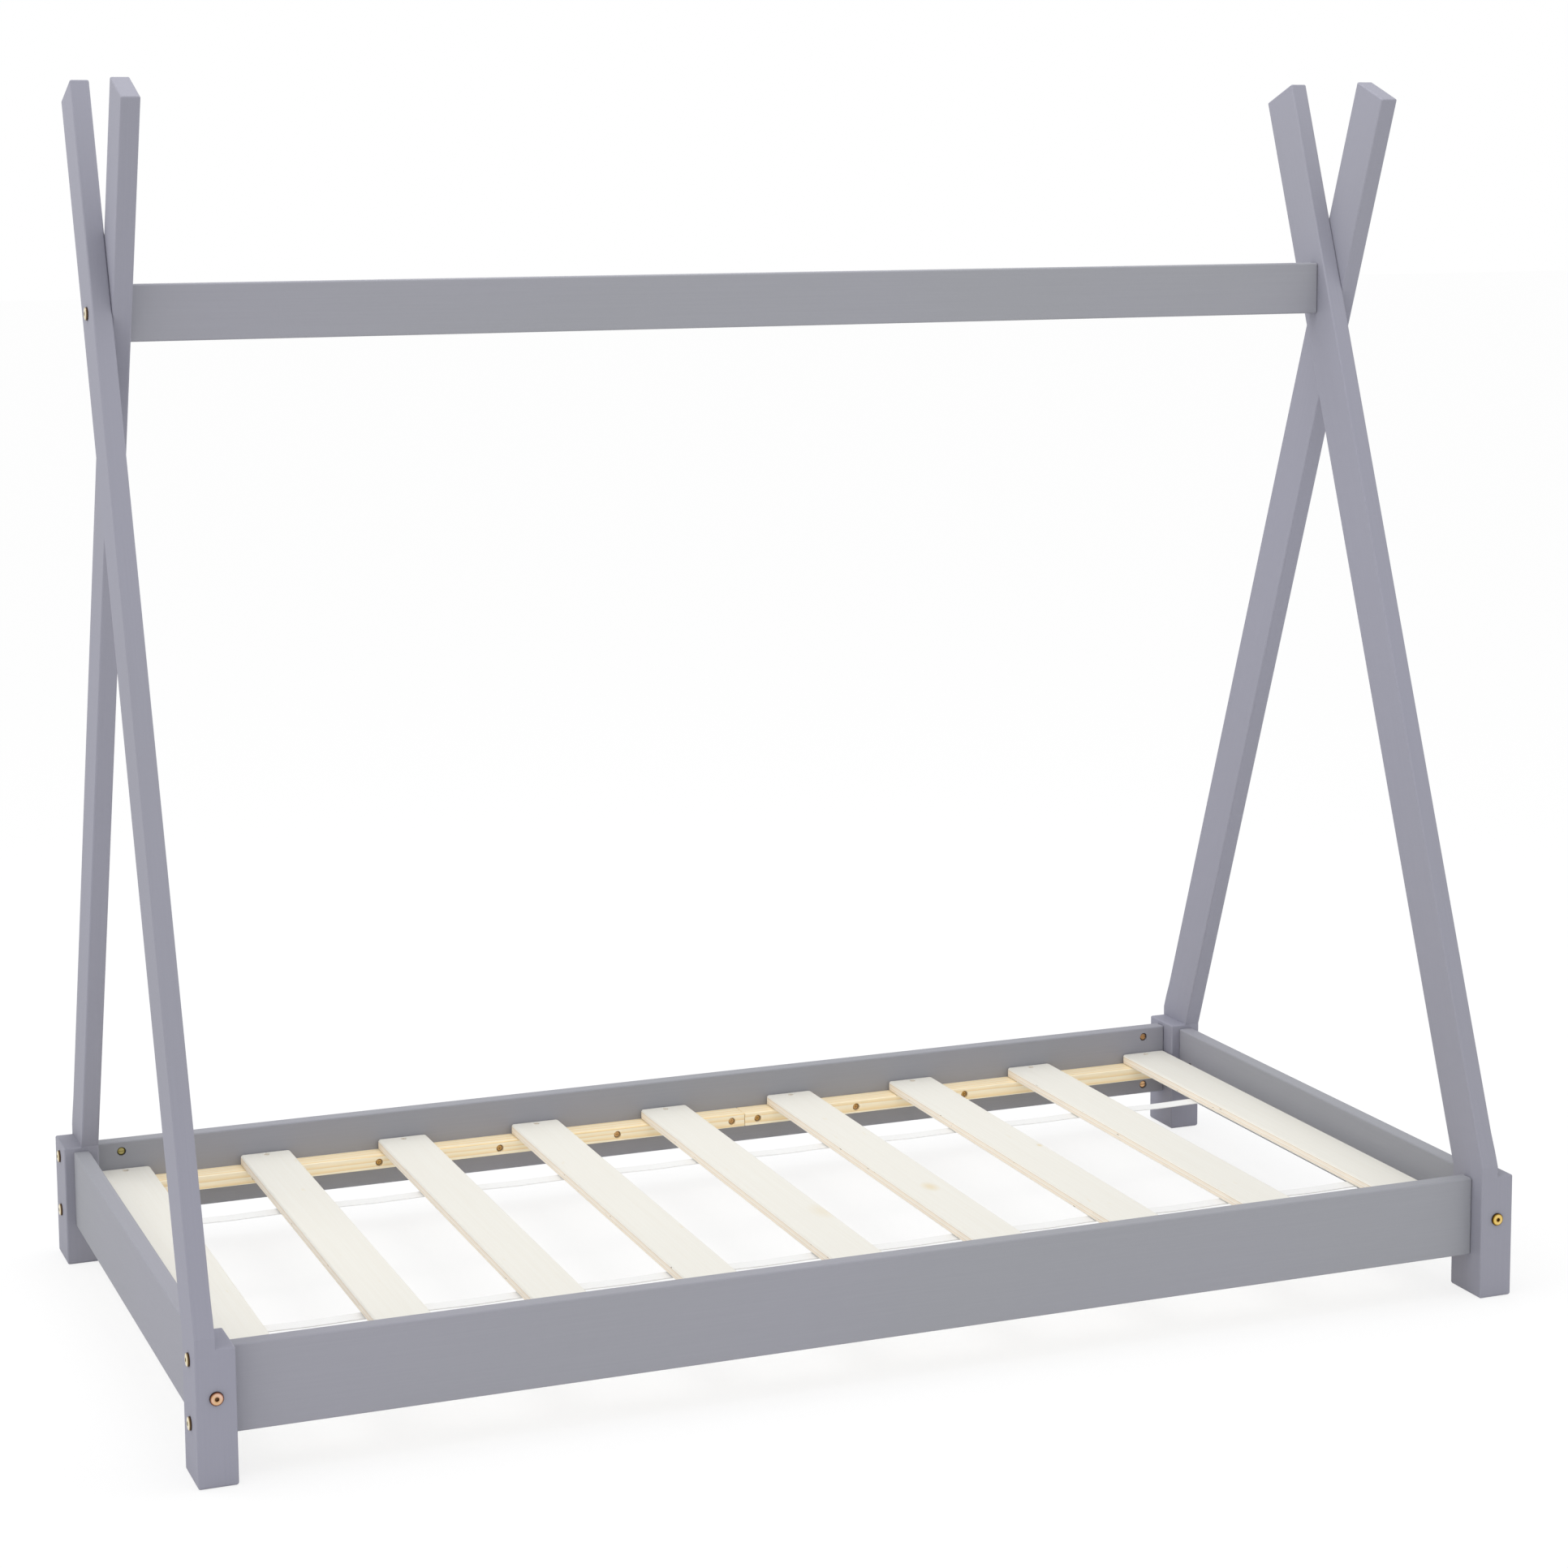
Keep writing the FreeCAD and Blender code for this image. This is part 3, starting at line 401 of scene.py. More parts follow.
def staples(material):
    """Wire staples that pin the straps under the slats: a flat wire carried up one leg, round two small
    bends and along the crown, so that only the crown shows."""
    half_wide, half_thick = 0.6, 0.3
    half, leg, bend = STAPLE_HALF, 6.0, 0.8
    from_middle, below_strap = 13.0, 0.25
    wire = np.array([(-half_wide, -half_thick), (half_wide, -half_thick),
                     (half_wide, half_thick), (-half_wide, half_thick)])
    turn = np.linspace(0, np.pi / 2, 3)
    corner = np.stack([half - bend + bend * np.sin(turn), -bend + bend * np.cos(turn)], -1)
    right = np.concatenate([corner, [(half, -leg)]])
    route = np.concatenate([right[::-1] * (-1, 1), right])
    heading = np.gradient(route, axis=0)
    heading /= np.linalg.norm(heading, axis=-1, keepdims=True)
    square = np.stack([-heading[:, 1], heading[:, 0]], -1)
    flat = route[:, None] + wire[None, :, 1:] * square[:, None]
    points = np.concatenate([np.broadcast_to(wire[None, :, :1], (*flat.shape[:2], 1)), flat], -1)[:, ::-1]
    normals = points - points.mean(axis=1, keepdims=True)
    normals /= np.linalg.norm(normals, axis=-1, keepdims=True)
    shape = [grid_patch(points, normals, points[..., :2]),
             flat_patch(points[0, ::-1], -Z, points[0, ::-1, :2]),
             flat_patch(points[-1], -Z, points[-1, :, :2])]
    places = []
    for name in STRAPS:
        low, high = node_box(name)
        for slat_low, slat_high in SLATS:
            for sign in SIGNS:
                x = (slat_low[0] + slat_high[0]) / 2 + sign * from_middle
                places.append((np.array([x, (low[1] + high[1]) / 2, low[2] - below_strap]), -Z, X))
    copies = [placed(patch, *place) for place in places for patch in shape]
    return make_piece("strap_staples", copies, material)


# Fittings stand on their own Z axis, with the seat of the head or the slotted end at z = 0
BOLT_STEPS, SCREW_STEPS, LAND_STEPS = 48, 64, 23


def turned(profile, steps, smooth=False):
    """A profile of (radius, height) points turned about the Z axis. Its normals stand square to each
    straight stretch, or, where it is smooth, to the mean of the two stretches that meet in a point."""
    profile = np.array(profile, float)
    step = np.diff(profile, axis=0)
    square = np.stack([step[:, 1], -step[:, 0]], -1)
    square /= np.linalg.norm(square, axis=-1, keepdims=True)
    turn = np.linspace(0, 2 * np.pi, steps, endpoint=False)
    spin = np.stack([np.cos(turn), np.sin(turn)], -1)

    def sweep(rows):
        flat = rows[:, None, :1] * spin
        return np.concatenate([flat, np.broadcast_to(rows[:, None, 1:], flat[..., :1].shape)], -1)

    if smooth:
        mean = np.concatenate([square[:1], square[:-1] + square[1:], square[-1:]])
        mean /= np.linalg.norm(mean, axis=-1, keepdims=True)
        stretches = [(profile, mean)]
    else:
        stretches = [(profile[row:row + 2], square[[row, row]]) for row in range(len(step))]
    patches = []
    for points, normals in stretches:
        grid = sweep(points)
        patches.append(grid_patch(grid, sweep(normals), grid[..., :2]))
    return patches


def polar(radii, height):
    """Points round the Z axis at a radius for each of their even angles."""
    turn = np.linspace(0, 2 * np.pi, len(radii), endpoint=False)
    flat = np.stack([np.cos(turn), np.sin(turn)], -1) * np.array(radii)[:, None]
    return np.concatenate([flat, np.full((len(radii), 1), height)], -1)


def tip_face(radius, height, steps):
    """A flat round face that looks down."""
    ring = polar(np.full(steps, radius), height)[::-1]
    return flat_patch(ring, -Z, ring[:, :2])


def recess(outline, rim, height, depth):
    """A driver's recess in a round flat face: a ring from the rim in to the outline, walls down and a
    floor. The outline is a radius for each even angle, and the floor is a little smaller."""
    taper = 0.94
    count = len(outline)
    outer, inner = polar(np.full(count, rim), height), polar(outline, height)
    floor = polar(np.array(outline) * taper, height - depth)
    ring = np.stack([outer, inner])
    patches = [grid_patch(ring, np.broadcast_to(Z, ring.shape), ring[..., :2])]
    sides = np.stack([inner, np.roll(inner, -1, 0), np.roll(floor, -1, 0), floor], 1)
    facing = np.cross(sides[:, 1] - sides[:, 0], sides[:, 3] - sides[:, 0])
    facing /= np.linalg.norm(facing, axis=-1, keepdims=True)
    corners = np.arange(4 * count).reshape(count, 4)
    points = sides.reshape(-1, 3)
    patches.append((points, np.repeat(facing, 4, axis=0), points[:, :2], corners))
    patches.append(flat_patch(floor, Z, floor[:, :2]))
    return patches


def hexagon(across_corners, count):
    """The radius of a hexagon at even angles: its apothem over the cosine from the middle of a side."""
    turn = np.linspace(0, 2 * np.pi, count, endpoint=False) % (np.pi / 3)
    return across_corners / 2 * math.cos(math.pi / 6) / np.cos(turn - np.pi / 6)


def cross(reach, half, count):
    """The radius of a cross with square arms at even angles: the further way out of its two bars."""
    turn = np.linspace(0, 2 * np.pi, count, endpoint=False) + np.pi / count
    c, s = np.abs(np.cos(turn)), np.abs(np.sin(turn))
    return np.maximum(np.minimum(reach / c, half / s), np.minimum(half / c, reach / s))


def bolt(length):
    """A connector bolt: a low domed head with a rolled edge and a hexagon socket."""
    shank, seat, height = 3.0, 6.8, 3.0
    lip, edge_from, edge_in, edge_up = 0.25, 1.2, 1.8, 1.5
    brow, flat = (4.4, 2.9), 3.6
    socket, socket_depth = 4.7, 2.1
    bend = np.linspace(0, np.pi / 2, 7)
    edge = np.stack([BOLT_HEAD - edge_in * (1 - np.cos(bend)), edge_from + edge_up * np.sin(bend)], -1)
    dome = np.concatenate([[(BOLT_HEAD, lip)], edge, [brow, (flat, height)]])
    patches = turned(dome, BOLT_STEPS, smooth=True)
    patches += recess(hexagon(socket, BOLT_STEPS), flat, height, socket_depth)
    patches += turned([(shank, -length), (shank, 0.0), (seat, 0.0), (BOLT_HEAD, lip)], BOLT_STEPS)
    return patches + [tip_face(shank, -length, BOLT_STEPS)]


def barrel_nut(length):
    """A barrel nut: a round barrel up to the floor of the slot, and beside the slot two half-moon lands
    with a chamfered edge. The arcs of the lands, end to end, are the barrel's rim."""
    half, deep, chamfer = 0.7, 1.4, 0.9

    def arc(radius, height, side):
        start = math.asin(half / radius)
        turn = np.linspace(start, math.pi - start, LAND_STEPS)
        rim = radius * np.stack([np.cos(turn), side * np.sin(turn)], -1)[::side]
        return np.concatenate([rim, np.full((LAND_STEPS, 1), height)], -1)

    def strip(low, high, facing, closed):
        rows = np.stack([low, high])
        return grid_patch(rows, np.stack([facing, facing]), rows[..., :2], closed)

    feet = {side: arc(NUT_RADIUS, -deep, side) for side in (1, -1)}
    rim = np.concatenate(list(feet.values()))
    outward = rim * (1, 1, 0) / NUT_RADIUS
    base = outward * NUT_RADIUS - length * Z
    slot = rim[[0, LAND_STEPS - 1, LAND_STEPS, -1]]
    patches = [strip(base, rim, outward, True), flat_patch(base[::-1], -Z, base[::-1, :2]),
               flat_patch(slot, Z, slot[:, :2])]
    for side, foot in feet.items():
        shoulder = arc(NUT_RADIUS, -chamfer, side)
        land = arc(NUT_RADIUS - chamfer, 0.0, side)
        outward = foot * (1, 1, 0) / NUT_RADIUS
        wall = np.stack([land[0], land[-1], shoulder[-1], foot[-1], foot[0], shoulder[0]])
        patches += [flat_patch(land, Z, land[:, :2]), strip(foot, shoulder, outward, False),
                    strip(shoulder, land, (outward + Z) * math.sqrt(0.5), False),
                    flat_patch(wall, -side * Y, wall[:, [0, 2]])]
    return patches


def screw(shank, length, head, height):
    """A pan-headed screw: a rounded head with a cross recess, a straight shank and a point. `shank` and
    `head` are radii."""
    rim, point, tip = 0.72 * head, 2.5 * shank, 0.05
    arm, half_arm, depth = 0.5 * head, 0.12 * head, 0.7 * height
    bend = np.linspace(0, np.pi / 2, 5)
    dome = np.stack([head - (head - rim) * (1 - np.cos(bend)), height * np.sin(bend)], -1)
    patches = turned(dome, SCREW_STEPS, smooth=True)
    patches += recess(cross(arm, half_arm, SCREW_STEPS), rim, height, depth)
    patches += turned([(tip, -length), (shank, point - length), (shank, 0.0), (head, 0.0)], SCREW_STEPS)
    return patches + [tip_face(tip, -length, SCREW_STEPS)]


def repeated(name, patches, places, material):
    """One piece of the same shape at each (centre, facing, across)."""
    copies = [placed(patch, *place) for place in places for patch in patches]
    return make_piece(f"set_{name}", copies, material, name)


# Finishes. A pattern's scale is in repeats to the metre, so 450 makes streaks about 2 mm wide. A Mix node for
# colours takes its factor at input 0 and its colours at 6 and 7, and gives the mix at output 2.


def rgb(code):
    """An sRGB hex colour as linear RGBA."""
    value = np.array([int(code[start:start + 2], 16) for start in (1, 3, 5)]) / 255
    linear = np.where(value <= 0.04045, value / 12.92, ((value + 0.055) / 1.055) ** 2.4)
    return (*linear.tolist(), 1.0)


def node(tree, kind, inputs=None, stops=(), **settings):
    """Add a node: an input is a value or the socket that feeds it, and `stops` are the places and colours
    of a ramp."""
    made = tree.nodes.new("ShaderNode" + kind)
    for name, value in settings.items():
        setattr(made, name, value)
    for name, value in (inputs or {}).items():
        if isinstance(value, bpy.types.NodeSocket):
            tree.links.new(value, made.inputs[name])
        else:
            made.inputs[name].default_value = value
    for index, (place, code) in enumerate(stops):
        ramp = made.color_ramp.elements
        stop = ramp[index] if index < 2 else ramp.new(place)
        stop.position, stop.color = place, rgb(code)
    return made


def finish(name, build, **sockets):
    """A material with one Principled shader: `build` links its patterns, and plain values go straight to
    the shader's own sockets."""
    material = bpy.data.materials.new(name)
    material.use_nodes = True
    tree = material.node_tree
    shader = tree.nodes["Principled BSDF"]
    for socket, value in sockets.items():
        shader.inputs[socket.replace("_", " ")].default_value = value
    build(tree, shader)
    return material


def painted_pine(tint, other_tint):
    """Satin paint rolled on planed pine: the grain shows through as faint streaks about 2 mm wide, the
    roller leaves a soft 1.5 mm stipple, and the tint drifts between two greys over half a metre."""
    def build(tree, shader):
        place = node(tree, "TexCoord")
        lines = node(tree, "Mapping", {"Vector": place.outputs["UV"], "Scale": (7, 450, 1)})
        streak = node(tree, "TexNoise",
                      {"Vector": lines.outputs[0], "Scale": 1, "Detail": 4, "Roughness": 0.6},
                      noise_dimensions="2D")
        drift = node(tree, "TexNoise", {"Vector": place.outputs["Object"], "Scale": 2.1, "Detail": 1})
        ground = node(tree, "ValToRGB", {"Fac": drift.outputs[0]}, [(0.36, tint), (0.64, other_tint)])
        light = node(tree, "MapRange", {"Value": streak.outputs[0], "From Min": 0.3, "From Max": 0.7,
                                        "To Min": 0.988, "To Max": 1.012})
        tone = node(tree, "Mix", {0: 1.0, 6: ground.outputs[0], 7: light.outputs[0]},
                    data_type="RGBA", blend_type="MULTIPLY")
        tree.links.new(tone.outputs[2], shader.inputs["Base Color"])
        stipple = node(tree, "TexNoise", {"Vector": place.outputs["Object"], "Scale": 650, "Detail": 2})
        sheen = node(tree, "MapRange", {"Value": stipple.outputs[0], "From Min": 0.3, "From Max": 0.7,
                                        "To Min": 0.6, "To Max": 0.72})
        tree.links.new(sheen.outputs[0], shader.inputs["Roughness"])
        fine = node(tree, "Bump", {"Height": stipple.outputs[0], "Strength": 0.08, "Distance": 0.0004})
        ridge = node(tree, "Bump", {"Height": streak.outputs[0], "Strength": 0.05, "Distance": 0.0006,
                                    "Normal": fine.outputs[0]})
        tree.links.new(ridge.outputs[0], shader.inputs["Normal"])
    return build


def bare_pine(tree, shader):
    """Planed, unpainted pine: pale yellow early wood with honey late-wood lines every 7 mm or so that
    wander along the strip, and fibres drawn about 0.7 mm wide so that they show."""
    place = node(tree, "TexCoord")
    lines = node(tree, "Mapping", {"Vector": place.outputs["UV"], "Scale": (1.1, 30, 1)})
    rings = node(tree, "TexWave", {"Vector": lines.outputs[0], "Scale": 1.4, "Distortion": 8.0, "Detail": 2.5,
                                   "Detail Scale": 0.8}, bands_direction="Y", wave_profile="SAW")
    fibre_at = node(tree, "Mapping", {"Vector": place.outputs["UV"], "Scale": (30, 1500, 1)})
    fibre = node(tree, "TexNoise", {"Vector": fibre_at.outputs[0], "Scale": 1, "Detail": 3},
                 noise_dimensions="2D")
    wood = node(tree, "ValToRGB", {"Fac": rings.outputs[1]},
                [(0.0, "#FFF3D7"), (0.5, "#FFEDC9"), (0.85, "#F9DFAA"), (0.94, "#F4D59F"), (1.0, "#FDEBC9")])
    light = node(tree, "MapRange", {"Value": fibre.outputs[0], "From Min": 0.3, "From Max": 0.7,
                                    "To Min": 0.95, "To Max": 1.02})
    tone = node(tree, "Mix", {0: 1.0, 6: wood.outputs[0], 7: light.outputs[0]},
                data_type="RGBA", blend_type="MULTIPLY")
    tree.links.new(tone.outputs[2], shader.inputs["Base Color"])
    raised = node(tree, "Bump", {"Height": fibre.outputs[0], "Strength": 0.10, "Distance": 0.0004})
    tree.links.new(raised.outputs[0], shader.inputs["Normal"])


# Each knot is (x, y, radius, depth of colour), in metres, and is longer along the slat by the stretch
SLAT_KNOTS = ((0.171, -0.075, 0.011, 0.75), (0.024, -0.112, 0.018, 0.35), (0.358, 0.025, 0.004, 0.9))
KNOT_STRETCH = 1 / 0.55


def poplar_plywood(tree, shader):
    """Sanded poplar plywood, 12 mm of five plies: ivory faces with faint long grain, a few pale flecks and
    three small knots, and cream edges with thin brown glue lines, drawn 0.4 mm wide so that they show, and
    small dark gaps."""
    underside, top = (corner[2] * MM for corner in SLATS[0])
    place = node(tree, "TexCoord")
    lines = node(tree, "Mapping", {"Vector": place.outputs["UV"], "Scale": (5, 260, 1)})
    streak = node(tree, "TexNoise", {"Vector": lines.outputs[0], "Scale": 1, "Detail": 4, "Roughness": 0.62},
                  noise_dimensions="2D")
    face = node(tree, "ValToRGB", {"Fac": streak.outputs[0]}, [(0.3, "#DFDCD3"), (0.7, "#E1DFD7")])
    fleck_at = node(tree, "Mapping", {"Vector": place.outputs["UV"], "Scale": (26, 110, 1)})
    fleck = node(tree, "TexNoise", {"Vector": fleck_at.outputs[0], "Scale": 1, "Detail": 2},
                 noise_dimensions="2D")
    speck = node(tree, "MapRange", {"Value": fleck.outputs[0], "From Min": 0.76, "From Max": 0.86,
                                    "To Max": 0.3})
    for x, y, size, depth in SLAT_KNOTS:
        spread = (1 / size, 1 / (size * KNOT_STRETCH), 0)
        near = node(tree, "Mapping", {"Vector": place.outputs["Object"], "Scale": spread,
                                      "Location": (-x * spread[0], -y * spread[1], 0)})
        away = node(tree, "VectorMath", {0: near.outputs[0]}, operation="LENGTH")
        spot = node(tree, "MapRange", {"Value": away.outputs["Value"], "From Min": 0.2,
                                       "To Min": depth, "To Max": 0})
        speck = node(tree, "Math", {0: speck.outputs[0], 1: spot.outputs[0]}, operation="MAXIMUM")
    veneer = node(tree, "Mix", {0: speck.outputs[0], 6: face.outputs[0], 7: rgb("#D9C9A6")}, data_type="RGBA")
    at = node(tree, "SeparateXYZ", {"Vector": place.outputs["Object"]})
    sway = node(tree, "TexNoise", {"Vector": place.outputs["Object"], "Scale": 30, "Detail": 2})
    waver = node(tree, "MapRange", {"Value": sway.outputs[0], "To Min": -0.0005, "To Max": 0.0005})
    height = node(tree, "Math", {0: at.outputs["Z"], 1: waver.outputs[0]}, operation="ADD")
    layer = node(tree, "MapRange", {"Value": height.outputs[0], "From Min": underside, "From Max": top})
    plies = node(tree, "ValToRGB", {"Fac": layer.outputs[0]},
                 [(0.0, "#F8F2E6"), (0.19, "#F7F0E3"), (0.2, "#E6D3BB"), (0.22, "#F8ECDA"),
                  (0.38, "#F8ECDA"), (0.4, "#D2B899"), (0.425, "#F9F2E5"),
                  (0.585, "#F9F2E5"), (0.6, "#EBDAC2"), (0.615, "#F8EDDB"),
                  (0.78, "#F8EDDB"), (0.8, "#B79A7A"), (0.825, "#F5F0E5"), (1.0, "#EFEDE4")])
    gap_at = node(tree, "Mapping", {"Vector": place.outputs["Object"], "Scale": (60, 60, 500)})
    gap = node(tree, "TexNoise", {"Vector": gap_at.outputs[0], "Scale": 1, "Detail": 1})
    hollow = node(tree, "MapRange", {"Value": gap.outputs[0], "From Min": 0.76, "From Max": 0.80})
    edge = node(tree, "Mix", {0: hollow.outputs[0], 6: plies.outputs[0], 7: rgb("#6E5638")}, data_type="RGBA")
    way = node(tree, "SeparateXYZ", {"Vector": node(tree, "NewGeometry").outputs["Normal"]})
    level = node(tree, "Math", {0: way.outputs["Z"]}, operation="ABSOLUTE")
    upper = node(tree, "MapRange", {"Value": level.outputs[0], "From Min": 0.45, "From Max": 0.75})
    tone = node(tree, "Mix", {0: upper.outputs[0], 6: edge.outputs[2], 7: veneer.outputs[2]},
                data_type="RGBA")
    tree.links.new(tone.outputs[2], shader.inputs["Base Color"])
    raised = node(tree, "Bump", {"Height": streak.outputs[0], "Strength": 0.02, "Distance": 0.0005})
    tree.links.new(raised.outputs[0], shader.inputs["Normal"])


def woven_webbing(tree, shader):
    """White polypropylene webbing: ribs across the strap every 2 mm, crossed by fine yarns along it, one
    every millimetre. A wave repeats about 3.2 times for each 1 of its scale."""
    place = node(tree, "TexCoord")
    rib = node(tree, "TexWave", {"Vector": place.outputs["UV"], "Scale": 160, "Distortion": 0.6},
               bands_direction="X")
    yarn = node(tree, "TexWave", {"Vector": place.outputs["UV"], "Scale": 330}, bands_direction="Y")
    weave = node(tree, "Math", {0: rib.outputs[1], 1: yarn.outputs[1]}, operation="MULTIPLY")
    tone = node(tree, "ValToRGB", {"Fac": weave.outputs[0]}, [(0.0, "#E4E4E3"), (0.6, "#E9E9E8")])
    tree.links.new(tone.outputs[0], shader.inputs["Base Color"])
    raised = node(tree, "Bump", {"Height": weave.outputs[0], "Strength": 0.2, "Distance": 0.0003})
    tree.links.new(raised.outputs[0], shader.inputs["Normal"])


def plated(reach, rings, cast, rough, right_rings=None):
    """A plated or turned fitting: its tint goes by the distance from its own axis out to `reach`, where the
    ring lists paint shade in a socket and dark reflection at the rim, and clouds of another cast, some 12 mm
    wide, lie over it. The fittings of the right-hand end can have another tint, as those of another batch do."""
    def build(tree, shader):
        place = node(tree, "TexCoord")
        radius = node(tree, "VectorMath", {0: place.outputs["UV"]}, operation="LENGTH")
        share = node(tree, "MapRange", {"Value": radius.outputs["Value"], "From Max": reach * MM})
        # the colour by radius: its dark stops are painted shade in the socket and painted dark reflection at
        # the rim
        tint_and_shade = node(tree, "ValToRGB", {"Fac": share.outputs[0]}, rings).outputs[0]
        if right_rings:
            other = node(tree, "ValToRGB", {"Fac": share.outputs[0]}, right_rings)
            at = node(tree, "SeparateXYZ", {"Vector": place.outputs["Object"]})
            right = node(tree, "Math", {0: at.outputs["X"], 1: 0.0}, operation="GREATER_THAN")
            batch = node(tree, "Mix", {0: right.outputs[0], 6: tint_and_shade, 7: other.outputs[0]}, data_type="RGBA")
            tint_and_shade = batch.outputs[2]
        cloud = node(tree, "TexNoise", {"Vector": place.outputs["Object"], "Scale": 80, "Detail": 3})
        amount = node(tree, "MapRange", {"Value": cloud.outputs[0], "From Min": 0.4, "From Max": 0.65,
                                         "To Max": 0.6})
        tone = node(tree, "Mix", {0: amount.outputs[0], 6: tint_and_shade, 7: rgb(cast)},
                    data_type="RGBA", blend_type="MULTIPLY")
        tree.links.new(tone.outputs[2], shader.inputs["Base Color"])
        polish = node(tree, "MapRange", {"Value": cloud.outputs[0],
                                         "To Min": rough - 0.08, "To Max": rough + 0.1})
        tree.links.new(polish.outputs[0], shader.inputs["Roughness"])
    return build


def beech(tree, shader):
    """Turned beech dowels: pinkish tan with darker flecks about 4 mm wide."""
    place = node(tree, "TexCoord")
    fleck = node(tree, "TexNoise", {"Vector": place.outputs["Object"], "Scale": 260, "Detail": 3})
    tone = node(tree, "ValToRGB", {"Fac": fleck.outputs[0]}, [(0.35, "#C09A72"), (0.65, "#D6B48C")])
    tree.links.new(tone.outputs[0], shader.inputs["Base Color"])


SATIN = {"IOR": 1.45, "Specular_IOR_Level": 0.3}
POST_PAINT = finish("satin_lavender_paint_on_pine", painted_pine("#9494A1", "#93939E"), **SATIN)
RAIL_PAINT = finish("satin_grey_paint_on_pine", painted_pine("#9898A1", "#97989E"), **SATIN)
PINE = finish("bare_planed_pine", bare_pine, Roughness=0.42, IOR=1.5)
PLYWOOD = finish("sanded_poplar_plywood", poplar_plywood, Roughness=0.6, IOR=1.5)
WEBBING = finish("white_woven_webbing", woven_webbing, Roughness=0.75)
# Bolt head colours by radius. The dark stops up to 0.27 are painted shade in the hex socket, and the dark
# stops from about 0.9 out are painted shadow where the head meets the wood and painted dark reflection on the
# rim.
PALE_RINGS = [(0.0, "#6B5F45"), (0.27, "#7A6C4C"), (0.34, "#DDCFA9"), (0.55, "#EDE3C8"), (0.80, "#EFE6D2"),
              (0.90, "#CDBD9E"), (0.96, "#75624C"), (1.0, "#574638")]
PALE_ZINC = finish("pale_yellow_zinc", plated(BOLT_HEAD, PALE_RINGS, "#F0E8B8", 0.28), Metallic=1.0)
# The end bolts' left and right colours by radius. The dark stops up to 0.27 are painted shade in the socket,
# and the darkening from 0.84 out is painted dark reflection and painted shade on the rim.
COPPER_RINGS = [(0.0, "#5A4436"), (0.27, "#6A4F3C"), (0.34, "#CFA58A"), (0.55, "#E5C3AD"), (0.74, "#E0B9A6"),
                (0.84, "#A97A66"), (0.93, "#5E3B32"), (1.0, "#45291F")]
GOLD_RINGS = [(0.0, "#5A4A2A"), (0.27, "#6A5630"), (0.34, "#D6AE62"), (0.55, "#EACE88"), (0.74, "#E6C876"),
              (0.84, "#A8853F"), (0.93, "#63491F"), (1.0, "#46321A")]
END_TINT_AND_SHADE = plated(BOLT_HEAD, COPPER_RINGS, "#F2EAAE", 0.28, GOLD_RINGS)
COPPER_ZINC = finish("coppery_yellow_zinc", END_TINT_AND_SHADE, Metallic=1.0)
# Nut colours by radius. The dark stops from 0.8 out are painted shade and painted reflection of the hole's
# wall on the chamfer.
OLIVE_RINGS = [(0.0, "#B8AF7C"), (0.66, "#A69E6C"), (0.8, "#6A6134"), (1.0, "#3A3116")]
BROWN_RINGS = [(0.0, "#E8C091"), (0.66, "#D9AE82"), (0.8, "#7A5236"), (1.0, "#3C2618")]
NUT_TINT_AND_SHADE = plated(NUT_RADIUS, OLIVE_RINGS, "#EFE6C8", 0.32, BROWN_RINGS)
BRASS = finish("turned_brass", NUT_TINT_AND_SHADE, Metallic=1.0)
# Screw head colours by radius. The darker stops toward the rim are painted shade from the bore round the
# head.
SCREW_RINGS = [(0.0, "#D8B37E"), (0.7, "#CFA56E"), (0.9, "#A87C52"), (1.0, "#7A5638")]
SCREW_TINT_AND_SHADE = plated(LEDGER_SCREW["head"], SCREW_RINGS, "#DFD58A", 0.34)
SCREW_ZINC = finish("yellow_zinc_screws", SCREW_TINT_AND_SHADE, Metallic=1.0)
STAPLE_RINGS = [(0.0, "#C6C5C0"), (1.0, "#A9A8A3")]
ZINC = finish("bright_zinc_wire", plated(STAPLE_HALF, STAPLE_RINGS, "#DDE0E6", 0.36), Metallic=1.0)
BEECH = finish("turned_beech", beech, Roughness=0.6)


# Legs: each pole's corner, and whether it is turned half round
CORNERS = {
    "front_left": (-HALF_LENGTH, -HALF_WIDTH, False),
    "front_right": (BAY, -HALF_WIDTH, False),
    "back_right": (HALF_LENGTH, HALF_WIDTH, True),
    "back_left": (-BAY, HALF_WIDTH, True),
}
for number, (name, (x, y, back)) in enumerate(CORNERS.items()):
    corner = np.array([x, y, 0.0])
    beside = corner + X * POLE_THICKNESS * (-1 if back else 1)
    pole(f"pole_{name}", corner, back, POST_PAINT, POLE_GRAIN * number)
    leg_block(f"leg_block_{name}", beside, back, POST_PAINT, POLE_GRAIN * number + BLOCK_GRAIN)

